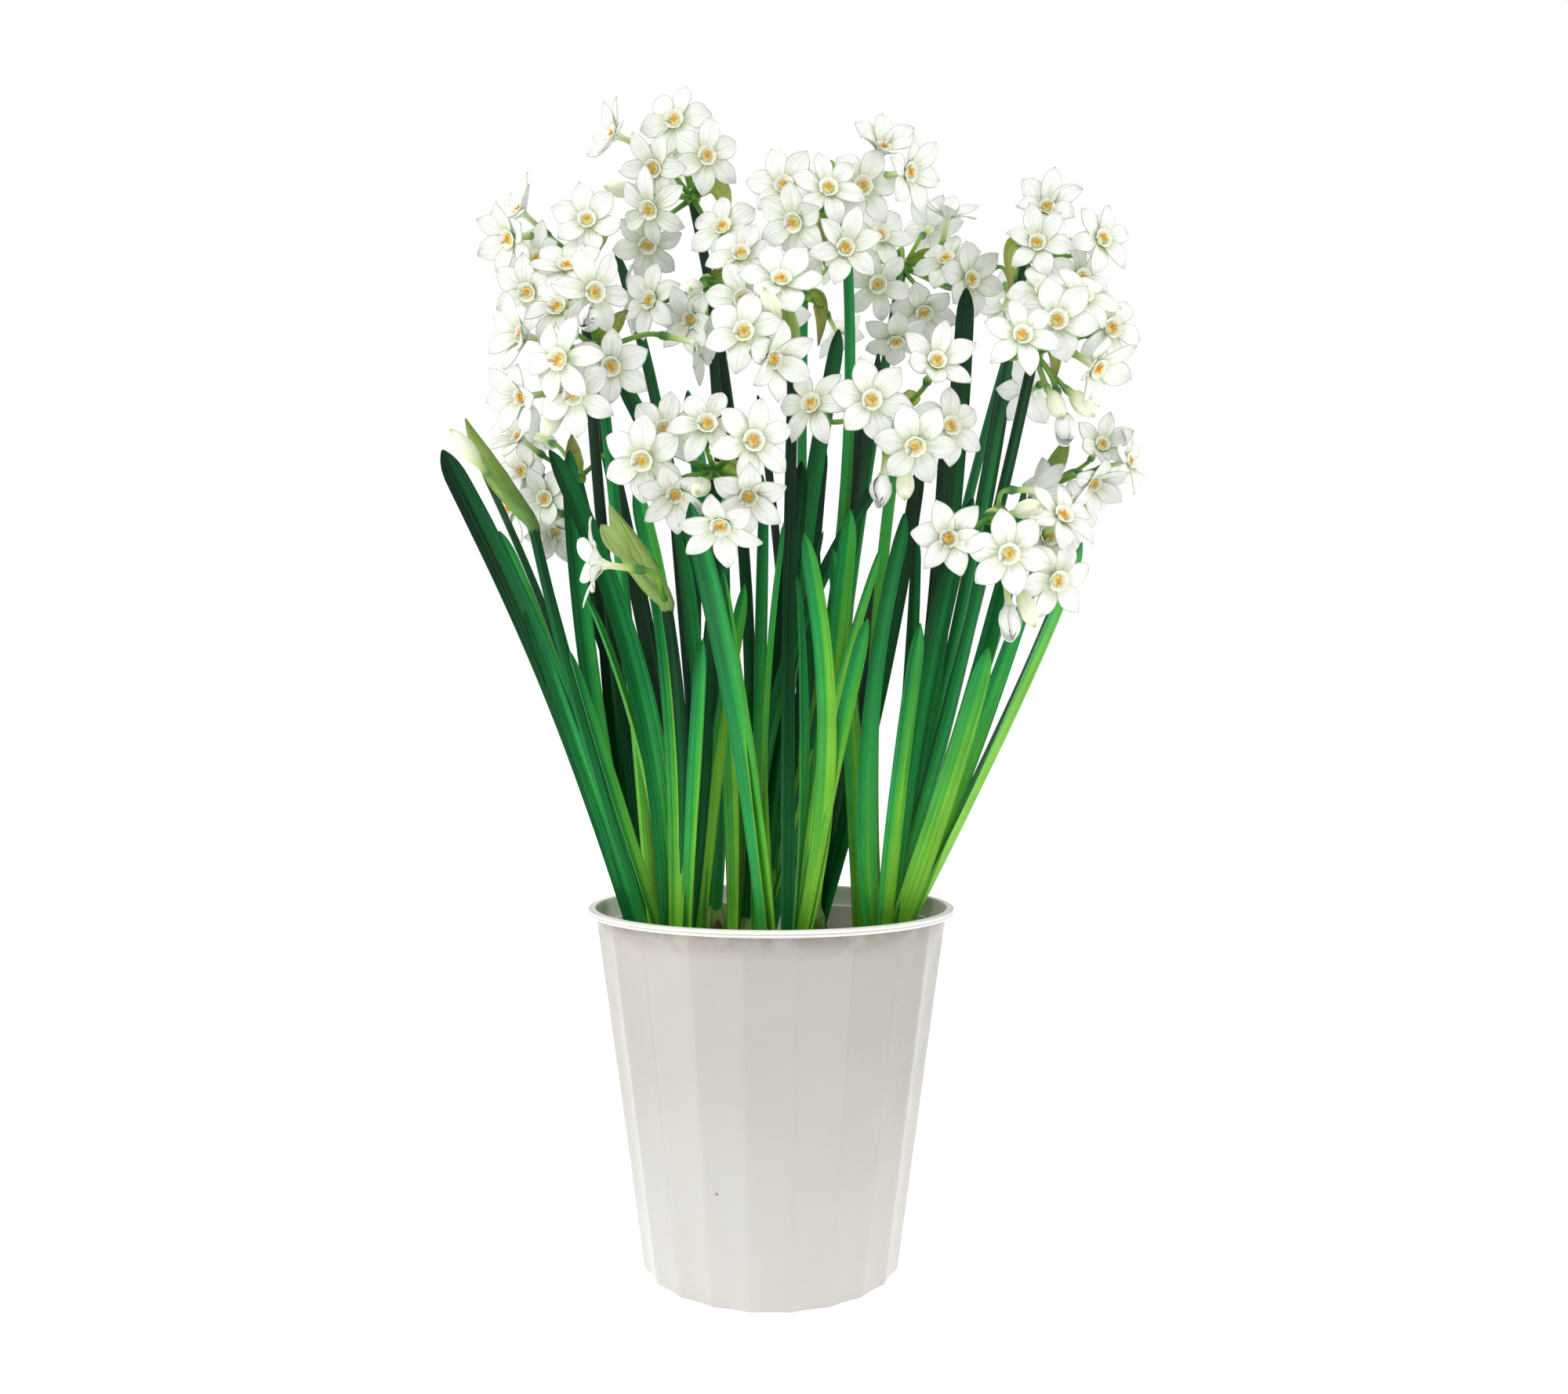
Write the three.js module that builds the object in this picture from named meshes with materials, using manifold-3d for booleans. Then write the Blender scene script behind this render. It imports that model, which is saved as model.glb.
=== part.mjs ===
// Paperwhite narcissus growing in a fluted plastic pot. Millimetres, +Z up.
// The origin is the middle of the pot's flat underside, and the plant's show side faces -Y.
// Eight bulbs stand half out of the soil. Each carries one shoot of strap leaves and bare
// flower stems, and each stem ends in an umbel: a hub with a papery spathe, florets and buds.

import * as THREE from "three";
import { mergeVertices } from "three/addons/utils/BufferGeometryUtils.js";
import Module from "manifold-3d";

const wasm = await Module();
wasm.setup();

// ---- Driving dimensions ----

const POT_HEIGHT = 160;
const POT_RIM_RADIUS = 82.5;
const POT_WALL_TOP_RADIUS = 79.4;
const POT_BASE_RADIUS = 58;
const POT_WALL = 2;
const POT_LIP = 3;
const POT_FLUTES = 22;
const POT_FLUTE_DEPTH = 1.2;
const FLOOR_THICKNESS = 2.5;
const FIT_GAP = 0.3;

const SOIL_TOP = 121;
const SOIL_WAVES = 1.4;

const BULB_RING = 52.5;
const BULB_RADIUS = 18;
const BULB_FOOT_Z = 94;
const BULB_WAIST_Z = 118;
const BULB_NOSE_Z = 140;
const BULB_SIDES = 10;

const NECK_RADIUS = 9;
const NECK_HEIGHT = 14;
const LEAF_ROOT_RING = 7;
const FACING_SPREAD = 58;
const LEAF_THICKNESS = 1.6;
const LEAF_CHANNEL = 1.1;
const STEM_RADIUS = 3.2;
const STEM_TIP_RADIUS = 2.3;
const STEM_SIDES = 5;

const FLORET_RADIUS = 16.2;
const TEPAL_HALF_WIDTH = 4.5;
const CUP_RADIUS = 4.2;
const CUP_HEIGHT = 3.8;
const TEPAL_ROOT = 2.6;
const TUBE_LENGTH = 17;
const TUBE_RADIUS = 1.9;
const PEDICEL_RADIUS = 1;
const BUD_LENGTH = 20;
const BUD_RADIUS = 4;
const PEDICEL_ROOT = 2.2;
const HUB_HALF = 4;
const HUB_RADIUS = 4.8;
const POD_SIDES = 6;

// ---- Where things grow ----
// Points of leaves, stems and florets are listed as [across, up] on the upright plane through
// the pot's axis, the way they line up for an eye EYE_BACK in front of it and EYE_UP high.
// onSight moves such a point along its line of sight to its own depth y.

const EYE_BACK = 550;
const EYE_UP = 230.5;

// Bulb angles round the pot in degrees. The eighth bulb stands in the middle.
const BULB_ANGLES = [173, 224, 276, 327, 19, 70, 122];
const MIDDLE_BULB = [-10, -2];

// Leaves by shoot: [mid across, mid up, tip across, tip up, tip depth, width, facing, twist].
// Facing is the direction of the leaf's upper side in degrees in plan, where -90 is the front.
const LEAVES = [
  [
    [-105, 275, -150, 367, -22, 12, -105, 10],
    [-101, 286, -132, 358, 15, 9, -70, 20],
    [-85, 286, -92, 367, -6, 9, -60, 30],
    [-86, 248, -106, 322, 34, 8, -50, 25],
    [-72, 250, -78, 330, 22, 8, -100, 20],
    [-90, 236, -112, 296, -14, 7, -80, 20],
    [-58, 230, -66, 300, 2, 7, -80, 20],
    [-97, 262, -124, 330, 0, 8, -60, 25],
  ],
  [
    [-66, 279, -101, 367, -64, 11, -100, 15],
    [-34, 225, -31, 281, -70, 7, -80, 20],
    [-62, 236, -84, 300, -50, 7.5, -70, 20],
    [-46, 268, -62, 350, -40, 9, -110, 30],
    [-28, 262, -20, 338, -46, 8.5, -75, 20],
    [-76, 224, -92, 276, -62, 7, -95, 20],
    [-45, 240, -54, 318, -58, 7, -60, 30],
    [-24, 236, -12, 306, -52, 7, -100, 20],
  ],
  [
    [-19, 268, -37, 343, -92, 13, -85, 10],
    [-2, 262, 6, 334, -74, 7.5, -60, 30],
    [25, 262, 15, 329, -90, 7.5, -100, 10],
    [28, 262, 36, 340, -66, 8.5, -70, 25],
    [14, 240, 12, 310, -78, 7, -100, 30],
    [30, 226, 44, 290, -86, 7, -85, 20],
    [26, 240, 50, 322, -74, 8, -70, 20],
    [-12, 240, -22, 312, -84, 7.5, -60, 30],
  ],
  [
    [46, 262, 61, 338, -70, 11, -100, 15],
    [60, 232, 68, 288, -72, 7, -80, 10],
    [83, 222, 99, 277, -62, 9, -70, 20],
    [112, 255, 142, 325, -30, 12, -75, -15],
    [76, 270, 92, 345, -40, 10, -110, 20],
    [98, 250, 122, 318, -38, 9, -95, 20],
    [36, 242, 28, 322, -46, 8, -110, 20],
    [70, 262, 86, 332, -54, 8, -60, 20],
  ],
  [
    [80, 322, 89, 441, 14, 10, -90, 8],
    [92, 318, 108, 408, 40, 9, -60, 20],
    [92, 262, 116, 352, 48, 9, -110, 20],
    [72, 262, 80, 372, 46, 9, -80, 25],
    [104, 240, 132, 306, 30, 8, -70, 20],
    [62, 250, 66, 330, 22, 8, -95, 20],
    [88, 240, 110, 322, 8, 8.5, -75, 20],
  ],
  [
    [32, 280, 44, 400, 84, 9.5, -80, 30],
    [6, 280, -6, 392, 92, 9.5, -100, 20],
    [50, 262, 68, 360, 96, 9, -60, 20],
    [20, 250, 18, 345, 110, 9, -90, 20],
    [36, 236, 48, 310, 112, 8.5, -110, 20],
    [16, 262, 24, 370, 66, 9.5, -80, 20],
    [28, 240, 32, 330, 84, 8, -80, 20],
  ],
  [
    [-44, 340, -71, 458, 30, 10.5, -95, 10],
    [-56, 282, -78, 384, 84, 9.5, -70, 20],
    [-70, 262, -100, 346, 78, 9, -100, 20],
    [-38, 262, -46, 352, 102, 9, -80, 20],
    [-24, 282, -22, 380, 72, 9.5, -90, 20],
    [-50, 236, -70, 300, 92, 8.5, -100, 20],
    [-34, 240, -34, 330, 62, 8, -100, 20],
  ],
  [
    [-42, 345, -71, 404, -8, 9.5, -80, 10],
    [16, 335, 31, 422, 14, 9, -100, 15],
    [36, 322, 49, 411, -10, 9, -70, 15],
    [20, 300, 54, 358, -18, 9, -95, 15],
    [-6, 270, -4, 356, -26, 10, -90, 8],
    [-24, 300, -38, 394, -20, 9.5, -110, 15],
    [4, 262, 14, 362, -6, 9, -80, 15],
    [8, 250, 24, 330, -12, 7.5, -70, 20],
    [-18, 246, -30, 318, -16, 7.5, -100, 20],
  ],
];

// Umbels: shoot that carries it, hub [across, up, depth], [across, up] halfway up its stem,
// florets of the show side as [across, up, facing across, facing up], buds, number of further
// florets round the back, spathe tip offset from the hub (across, depth, up) and spathe width.
// A floret with facing 0, 0 looks straight to the front. A pod is a spathe that still wraps the
// stalks of its umbel.
const UMBELS = [
  {
    shoot: 7, hub: [-36, 482, 24], half: [-20, 392], spathe: [16, -10, -20, 10], back: 1,
    front: [
      [-43, 516, -0.1, 0.1], [-55, 495, -0.1, -0.3], [-30, 501, 0.1, -0.1],
      [-72, 509, -0.8, 0.2], [-57, 477, -0.2, -0.7], [-55, 462, 0, -0.8], [-20, 467, -0.2, 0.35],
    ],
    buds: [[-68, 486]],
  },
  {
    shoot: 0, hub: [-86, 453, 14], half: [-77, 330], spathe: [14, -6, 14, 9], back: 1,
    front: [
      [-84, 472, 0, 0], [-107, 455, -0.5, -0.1], [-91, 452, -0.1, 0.4],
      [-112, 475, -0.8, 0.35], [-120, 463, -0.6, -0.3], [-109, 441, -0.3, -0.5],
    ],
    buds: [],
  },
  {
    shoot: 0, hub: [-79, 413, -44], half: [-66, 290], spathe: [14, -12, 12, 9], back: 1,
    front: [
      [-96, 432, -0.1, 0.2], [-98, 408, -0.25, 0], [-90, 393, 0, -0.5], [-73, 405, 0.1, -0.6],
      [-112, 418, -0.8, 0.1], [-111, 393, -0.6, -0.4], [-80, 438, 0.5, -0.3],
    ],
    buds: [[-100, 380], [-82, 423]],
  },
  {
    shoot: 6, hub: [-88, 354, 56], half: [-66, 270], spathe: [-2, -8, 20, 9], back: 2,
    front: [
      [-113, 372, -0.5, 0.3], [-103, 344, -0.1, -0.2], [-114, 356, -0.4, 0],
      [-100, 329, 0.1, -0.6], [-119, 340, -0.7, -0.3],
    ],
    buds: [],
  },
  {
    shoot: 6, hub: [-29, 443, 4], half: [-22, 335], spathe: [18, -8, -6, 8], back: 2,
    front: [[-54, 436, -0.5, 0], [-38, 425, -0.2, -0.35], [-14, 455, -0.1, 0.3]],
    buds: [[-35, 441]],
  },
  {
    shoot: 2, hub: [10, 404, -48], half: [8, 290], spathe: [-5, -2, 34, 11], pod: true, back: 1,
    front: [[-12, 436, 0, 0], [-11, 422, 0, -0.15], [3, 445, 0.1, 0.5], [2, 410, 0.5, -0.5]],
    buds: [[0, 432]],
  },
  {
    shoot: 7, hub: [34, 468, -4], half: [34, 350], spathe: [-10, -8, -20, 8], back: 1,
    front: [
      [6, 485, -0.1, 0], [24, 487, 0, 0.1], [41, 486, 0.2, -0.1], [49, 503, 0.1, 0.55],
      [61, 492, 0.75, -0.1], [35, 457, 0, 0], [9, 470, -0.2, -0.6],
    ],
    buds: [],
  },
  {
    shoot: 5, hub: [60, 450, 58], half: [40, 330], spathe: [26, -8, -12, 9], back: 2,
    front: [
      [50, 444, -0.1, -0.5], [81, 452, -0.2, 0.3], [68, 432, 0.1, -0.6], [55, 417, 0, -0.85],
      [90, 446, 0.5, -0.3], [82, 472, 0, 0.7], [48, 464, 0, 0.3],
    ],
    buds: [],
  },
  {
    shoot: 4, hub: [116, 456, 22], half: [94, 330], spathe: [-8, -8, -22, 8], back: 2,
    front: [
      [126, 476, 0, 0.2], [121, 461, 0, 0], [150, 464, 0.4, 0], [123, 439, 0, 0.4],
      [143, 447, 0.4, -0.1],
    ],
    buds: [],
  },
  {
    shoot: 3, hub: [120, 411, -32], half: [94, 300], spathe: [6, -10, -16, 8], back: 1,
    front: [
      [114, 420, -0.1, 0], [132, 426, 0.1, -0.1], [153, 421, 0.3, 0], [143, 436, 0.3, 0.4],
      [147, 404, 0.5, -0.5],
    ],
    buds: [[130, 388], [134, 377], [142, 388]],
  },
  {
    shoot: 1, hub: [-26, 357, -60], half: [-28, 255], spathe: [10, 8, -12, 9], back: 0,
    front: [
      [-50, 377, 0, 0], [-28, 379, 0, 0.1], [-7, 371, 0.1, -0.1], [-57, 361, -0.2, -0.3],
      [-44, 347, -0.1, -0.55], [-12, 347, 0.15, -0.5], [-24, 335, 0, -0.75],
    ],
    buds: [[-32, 350]],
  },
  {
    shoot: 3, hub: [60, 386, -40], half: [48, 280], spathe: [8, 14, 10, 8], back: 0,
    front: [
      [47, 389, 0, 0], [76, 406, 0.1, 0.1], [18, 387, -0.5, 0], [64, 369, 0, -0.45],
      [80, 379, 0.25, -0.1],
    ],
    buds: [[61, 352], [51, 349]],
  },
  {
    shoot: 4, hub: [120, 346, 72], half: [92, 250], spathe: [17, -4, 30, 11], pod: true, back: 1,
    front: [
      [151, 370, 0.2, 0.2], [147, 354, 0.4, -0.4], [161, 362, 0.7, 0], [142, 343, 0, -0.6],
    ],
    buds: [],
  },
  {
    shoot: 3, hub: [101, 336, -57], half: [82, 250], spathe: [4, 8, -12, 9], back: 1,
    front: [
      [80, 325, 0, 0], [107, 318, -0.1, -0.2], [126, 326, 0.4, 0.2], [131, 338, 0.3, 0.4],
      [129, 309, 0.4, -0.4],
    ],
    buds: [[117, 340], [109, 289], [117, 295]],
  },
  {
    shoot: 0, hub: [-109, 334, -24], half: [-88, 250], spathe: [-28, -4, 44, 10], pod: true,
    back: 0, front: [], buds: [[-139, 368]],
  },
  {
    shoot: 1, hub: [-48, 298, -66], half: [-40, 225], spathe: [-22, -4, 38, 12], pod: true,
    back: 0, front: [[-79, 315, -0.95, 0]], buds: [[-71, 325]],
  },
  {
    shoot: 5, hub: [15, 437, 100], half: [14, 320], spathe: [8, 8, -24, 9], back: 5,
    front: [], buds: [],
  },
  {
    shoot: 4, hub: [112, 424, 100], half: [84, 320], spathe: [8, 8, -24, 9], back: 5,
    front: [], buds: [],
  },
];

// ---- Small helpers ----

const vec = (x, y, z) => new THREE.Vector3(x, y, z);
const mix = THREE.MathUtils.lerp;
const UP = vec(0, 0, 1);
const FRONT = vec(0, -1, 0);

function onSight([across, up], y) {
  const k = (EYE_BACK + y) / EYE_BACK;
  return vec(across * k, y, EYE_UP + (up - EYE_UP) * k);
}

// Even draws in 0..1 from a whole-number seed, the same on every run.
function drawer(seed) {
  let state = seed * 7919 + 17;
  const draw = () => {
    state = (state * 1664525 + 1013904223) % 4294967296;
    return state / 4294967296;
  };
  draw();
  draw();
  return draw;
}

function surface(points, faces) {
  const geometry = new THREE.BufferGeometry();
  geometry.setAttribute("position", new THREE.Float32BufferAttribute(points.flat(), 3));
  geometry.setIndex(faces.flat());
  return geometry;
}

function solid(geometry) {
  const bare = geometry.clone();
  bare.deleteAttribute("normal");
  bare.deleteAttribute("uv");
  const merged = mergeVertices(bare, 1e-4);
  const vertProperties = merged.attributes.position.array;
  const triVerts = new Uint32Array(merged.index.array);
  return new wasm.Manifold(new wasm.Mesh({ numProp: 3, vertProperties, triVerts }));
}

function shape(manifold) {
  const { numProp, vertProperties, triVerts } = manifold.getMesh();
  const points = [];
  for (let i = 0; i < vertProperties.length; i += numProp) {
    points.push(vertProperties[i], vertProperties[i + 1], vertProperties[i + 2]);
  }
  const geometry = new THREE.BufferGeometry();
  geometry.setAttribute("position", new THREE.Float32BufferAttribute(points, 3));
  geometry.setIndex(Array.from(triVerts));
  return geometry;
}

// A body turned round an axis from a profile of [radius, z] that starts and ends on the axis.
function turned(profile, sides) {
  const lathe = new THREE.LatheGeometry(profile.map(([r, z]) => new THREE.Vector2(r, z)), sides);
  return lathe.rotateX(Math.PI / 2);
}

// A bent line from start to end that passes through mid.
function bend(start, mid, end) {
  const t = start.distanceTo(mid) / (start.distanceTo(mid) + mid.distanceTo(end));
  const control = mid.clone();
  control.addScaledVector(start, -((1 - t) ** 2));
  control.addScaledVector(end, -(t ** 2));
  control.divideScalar(2 * t * (1 - t));
  return new THREE.QuadraticBezierCurve3(start, control, end);
}

// Closed skin over a row of rings with equally many points, closed at both ends.
function skin(rings) {
  const n = rings[0].length;
  const faces = [];
  for (let r = 0; r + 1 < rings.length; r += 1) {
    for (let i = 0; i < n; i += 1) {
      const a = r * n + i;
      const b = r * n + ((i + 1) % n);
      faces.push([a, b, b + n], [a, b + n, a + n]);
    }
  }
  const last = (rings.length - 1) * n;
  for (let i = 1; i + 1 < n; i += 1) {
    faces.push([0, i + 1, i], [last, last + i, last + i + 1]);
  }
  return surface(rings.flat(), faces);
}

// Ring of points round a centre in the plane across a direction.
function ringAcross(centre, along, side, radius, sides, phase = 0) {
  const u = side.clone().addScaledVector(along, -side.dot(along)).normalize();
  const v = along.clone().cross(u);
  const ring = [];
  for (let i = 0; i < sides; i += 1) {
    const angle = phase + (2 * Math.PI * i) / sides;
    const p = centre.clone();
    p.addScaledVector(u, radius * Math.cos(angle));
    p.addScaledVector(v, radius * Math.sin(angle));
    ring.push(p.toArray());
  }
  return ring;
}

// ---- Pot ----

const wallRadius = (z) => mix(POT_BASE_RADIUS, POT_WALL_TOP_RADIUS, z / (POT_HEIGHT - POT_LIP));

function pot() {
  const lipZ = POT_HEIGHT - POT_LIP;
  const innerLedge = POT_HEIGHT - 10;
  const profile = [
    [0, 0],
    [POT_BASE_RADIUS - 1, 0],
    [wallRadius(1.2), 1.2],
    [wallRadius(lipZ - 2), lipZ - 2],
    [POT_WALL_TOP_RADIUS, lipZ],
    [POT_RIM_RADIUS, lipZ + 0.3],
    [POT_RIM_RADIUS, POT_HEIGHT - 0.7],
    [POT_RIM_RADIUS - 0.8, POT_HEIGHT],
    [POT_WALL_TOP_RADIUS - 0.4, POT_HEIGHT],
    [wallRadius(innerLedge) - POT_WALL, innerLedge],
    [wallRadius(FLOOR_THICKNESS) - POT_WALL, FLOOR_THICKNESS],
    [0, FLOOR_THICKNESS],
  ];
  const sides = POT_FLUTES * 2;
  const body = turned(profile, sides);
  const place = body.attributes.position;
  for (let i = 0; i < place.count; i += 1) {
    const x = place.getX(i);
    const y = place.getY(i);
    const z = place.getZ(i);
    const r = Math.hypot(x, y);
    const step = Math.round((Math.atan2(y, x) / (2 * Math.PI)) * sides);
    const outside = r > wallRadius(z) - POT_WALL / 2 && z < lipZ - 1 && r > POT_BASE_RADIUS - 2;
    if (outside && Math.abs(step) % 2 === 1) {
      const k = (r - POT_FLUTE_DEPTH) / r;
      place.setXYZ(i, x * k, y * k, z);
    }
  }
  return shape(solid(body));
}

// ---- Bulbs and soil ----

const bulbPlaces = BULB_ANGLES.map((degrees) => {
  const angle = THREE.MathUtils.degToRad(degrees);
  return vec(BULB_RING * Math.cos(angle), BULB_RING * Math.sin(angle), 0);
});
bulbPlaces.push(vec(MIDDLE_BULB[0], MIDDLE_BULB[1], 0));

const bulbProfile = [
  [0, BULB_FOOT_Z],
  [BULB_RADIUS * 0.5, BULB_FOOT_Z],
  [BULB_RADIUS, BULB_WAIST_Z],
  [BULB_RADIUS * 0.84, BULB_WAIST_Z + 9],
  [NECK_RADIUS, BULB_NOSE_Z],
  [0, BULB_NOSE_Z],
];

function bulb(place) {
  return turned(bulbProfile, BULB_SIDES).translate(place.x, place.y, 0);
}

function soil() {
  const bottom = FLOOR_THICKNESS + FIT_GAP;
  const inner = (z) => wallRadius(z) - POT_WALL - FIT_GAP;
  const profile = [
    [0, bottom],
    [inner(bottom), bottom],
    [inner(SOIL_TOP), SOIL_TOP],
    [inner(SOIL_TOP) * 0.62, SOIL_TOP],
    [0, SOIL_TOP],
  ];
  const body = turned(profile, POT_FLUTES);
  const place = body.attributes.position;
  for (let i = 0; i < place.count; i += 1) {
    if (place.getZ(i) > SOIL_TOP - 1) {
      const angle = Math.atan2(place.getY(i), place.getX(i));
      place.setZ(i, SOIL_TOP + SOIL_WAVES * Math.sin(5 * angle) * Math.cos(3 * angle));
    }
  }
  let block = solid(body);
  const hole = [
    [0, BULB_FOOT_Z - FIT_GAP],
    [BULB_RADIUS + FIT_GAP, BULB_FOOT_Z - FIT_GAP],
    [BULB_RADIUS + FIT_GAP, SOIL_TOP + 5],
    [0, SOIL_TOP + 5],
  ];
  for (const p of bulbPlaces) {
    block = block.subtract(solid(turned(hole, BULB_SIDES).translate(p.x, p.y, 0)));
  }
  return shape(block);
}

// ---- Leaves and stems ----

// Strap leaf with a raised edge on both sides of a shallow channel. Its cross-section has four
// points: left edge, channel, right edge and keel.
function strap(curve, stations, thickness, channel, facing, twist) {
  const rings = stations.map(([t, halfWidth]) => {
    const angle = THREE.MathUtils.degToRad(facing + twist * t);
    const along = curve.getTangent(t);
    const across = along.clone().cross(vec(Math.cos(angle), Math.sin(angle), 0)).normalize();
    const normal = across.clone().cross(along);
    const centre = curve.getPoint(t);
    const at = (side, lift) => {
      const p = centre.clone();
      p.addScaledVector(across, side);
      p.addScaledVector(normal, lift);
      return p.toArray();
    };
    const edge = channel * Math.min(1, halfWidth / 4);
    return [
      at(-halfWidth, edge), at(0, thickness / 2), at(halfWidth, edge), at(0, -thickness / 2),
    ];
  });
  return skin(rings);
}

function leafCurve(root, [midAcross, midUp, tipAcross, tipUp, depth]) {
  const tip = onSight([tipAcross, tipUp], depth);
  const flatMid = onSight([midAcross, midUp], mix(root.y, depth, 0.5));
  const heading = vec(flatMid.x - root.x, flatMid.y - root.y, 0).normalize();
  const start = vec(root.x, root.y, BULB_NOSE_Z + 2).addScaledVector(heading, LEAF_ROOT_RING);
  const share = (flatMid.z - start.z) / (tip.z - start.z);
  return bend(start, onSight([midAcross, midUp], mix(start.y, depth, share)), tip);
}

function leaf(root, row, turn) {
  const [, , , , , width, facing, twist] = row;
  const curve = leafCurve(root, row);
  const length = curve.getLength();
  const half = width / 2;
  const stations = [
    [0, half * 0.84],
    [0.3, half * 1.06],
    [0.66, half],
    [1 - 9 / length, half * 0.8],
    [1 - 3 / length, half * 0.52],
    [1, half * 0.14],
  ];
  const looking = facing + FACING_SPREAD * Math.sin(2.4 * turn);
  return strap(curve, stations, LEAF_THICKNESS, LEAF_CHANNEL, looking, twist);
}

function stemCurve(root, umbel) {
  const hub = onSight(umbel.hub, umbel.hub[2]);
  const start = vec(root.x, root.y, BULB_NOSE_Z + 2);
  const share = (umbel.half[1] - start.z) / (hub.z - start.z);
  const mid = onSight(umbel.half, mix(root.y, hub.y, share));
  const heading = vec(hub.x - root.x, hub.y - root.y, 0).normalize();
  start.addScaledVector(heading, LEAF_ROOT_RING * 0.4);
  return bend(start, mid, hub);
}

function stem(root, umbel) {
  const curve = stemCurve(root, umbel);
  const end = curve.getTangent(1);
  const cut = curve.v2.clone().addScaledVector(end, -(HUB_HALF + FIT_GAP));
  const path = new THREE.QuadraticBezierCurve3(curve.v0, curve.v1, cut);
  const rings = [0, 0.3, 0.66, 1].map((t) => {
    const radius = mix(STEM_RADIUS, STEM_TIP_RADIUS, t);
    return ringAcross(path.getPoint(t), path.getTangent(t), FRONT, radius, STEM_SIDES);
  });
  return skin(rings);
}

function neck(root) {
  const foot = BULB_NOSE_Z + FIT_GAP;
  const profile = [
    [0, foot],
    [NECK_RADIUS, foot],
    [NECK_RADIUS, foot + NECK_HEIGHT * 0.5],
    [NECK_RADIUS * 0.7, foot + NECK_HEIGHT],
    [0, foot + NECK_HEIGHT],
  ];
  return turned(profile, 8).translate(root.x, root.y, 0);
}

function shoot(index) {
  const root = bulbPlaces[index];
  let body = solid(neck(root));
  LEAVES[index].forEach((row, i) => {
    body = body.add(solid(leaf(root, row, i + index)));
  });
  for (const umbel of UMBELS) {
    if (umbel.shoot === index) body = body.add(solid(stem(root, umbel)));
  }
  return shape(body);
}

// ---- Room for the florets ----
// A floret opens where it finds room. Everything that takes up room is a rod: a line with a
// radius. A draw of reach, facing and roll is kept when its rods clear all rods around it.

function rodGap(a, b) {
  const d1 = a.q.clone().sub(a.p);
  const d2 = b.q.clone().sub(b.p);
  const r = a.p.clone().sub(b.p);
  const aa = d1.dot(d1);
  const ee = d2.dot(d2);
  const f = d2.dot(r);
  const c = d1.dot(r);
  const bb = d1.dot(d2);
  const denom = aa * ee - bb * bb;
  const clamp = (x) => Math.min(1, Math.max(0, x));
  let s = denom > 1e-9 ? clamp((bb * f - c * ee) / denom) : 0;
  let t = (bb * s + f) / ee;
  if (t < 0) {
    t = 0;
    s = clamp(-c / aa);
  } else if (t > 1) {
    t = 1;
    s = clamp((bb - c) / aa);
  }
  return r.addScaledVector(d1, s).addScaledVector(d2, -t).length();
}

const ROD = { tepal: 4.4, stalk: 2.2, bud: 5, leaf: 5.4, stem: 3.2 };
const SAME_UMBEL = { tepal: 2.6, stalk: 1.9, bud: 4, stem: 3.2 };
const STALK_START = 9;
const SHOW_PLAY = 0.3;
const BACK_PLAY = 0.68;

function slack(rods, taken, umbel) {
  let least = Infinity;
  for (const thing of taken) {
    if (thing.centre && thing.centre.distanceTo(rods.centre) > 2 * FLORET_RADIUS + 26) continue;
    const own = thing.umbel === umbel;
    for (const a of rods.list) {
      for (const b of thing.list) {
        if (own && a.kind === "stalk" && b.kind === "stalk") continue;
        const size = own ? SAME_UMBEL : ROD;
        least = Math.min(least, rodGap(a, b) - size[a.kind] - size[b.kind]);
      }
    }
  }
  return least;
}

function curveRods(curve, kind, umbel, steps) {
  const points = curve.getPoints(steps);
  const list = points.slice(1).map((q, i) => ({ p: points[i], q, kind }));
  return { list, umbel };
}

// ---- Florets and buds ----

function floretFrame(axis, roll) {
  const side = (Math.abs(axis.z) < 0.95 ? UP : FRONT).clone().cross(axis).normalize();
  const rise = axis.clone().cross(side);
  const direction = (angle) => {
    const d = side.clone().multiplyScalar(Math.cos(angle + roll));
    return d.addScaledVector(rise, Math.sin(angle + roll));
  };
  return direction;
}

function floretRods(floret) {
  const direction = floretFrame(floret.axis, floret.roll);
  const list = [];
  for (let k = 0; k < 6; k += 1) {
    const out = direction((k * Math.PI) / 3);
    const p = floret.centre.clone().addScaledVector(out, CUP_RADIUS);
    const q = floret.centre.clone().addScaledVector(out, FLORET_RADIUS - 2);
    list.push({ p, q, kind: "tepal" });
  }
  const ovary = floret.centre.clone().addScaledVector(floret.axis, -TUBE_LENGTH);
  list.push({ p: floret.centre, q: ovary, kind: "stalk" });
  const leave = ovary.clone().sub(floret.hub).setLength(STALK_START).add(floret.hub);
  list.push({ p: ovary, q: leave, kind: "stalk" });
  return { list, umbel: floret.umbel, centre: floret.centre };
}

// A show floret faces the way its row says, and one round the back away from its hub and a little
// down. Both have some play.
function showAxis([, , across, up], draw) {
  const axis = vec(across, -Math.sqrt(1 - across * across - up * up), up);
  const play = vec(draw() - 0.5, draw() - 0.5, draw() - 0.5);
  return axis.addScaledVector(play, SHOW_PLAY).normalize();
}

function backAxis(outward, draw) {
  const axis = outward.clone();
  if (axis.z > 0) axis.z *= 0.45;
  const play = vec(draw() - 0.5, 0.6 * (draw() - 0.5), draw() - 0.6);
  return axis.addScaledVector(play, BACK_PLAY).normalize();
}

const SHOW_DRAWS = 160;
const BACK_DRAWS = 60;

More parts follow.
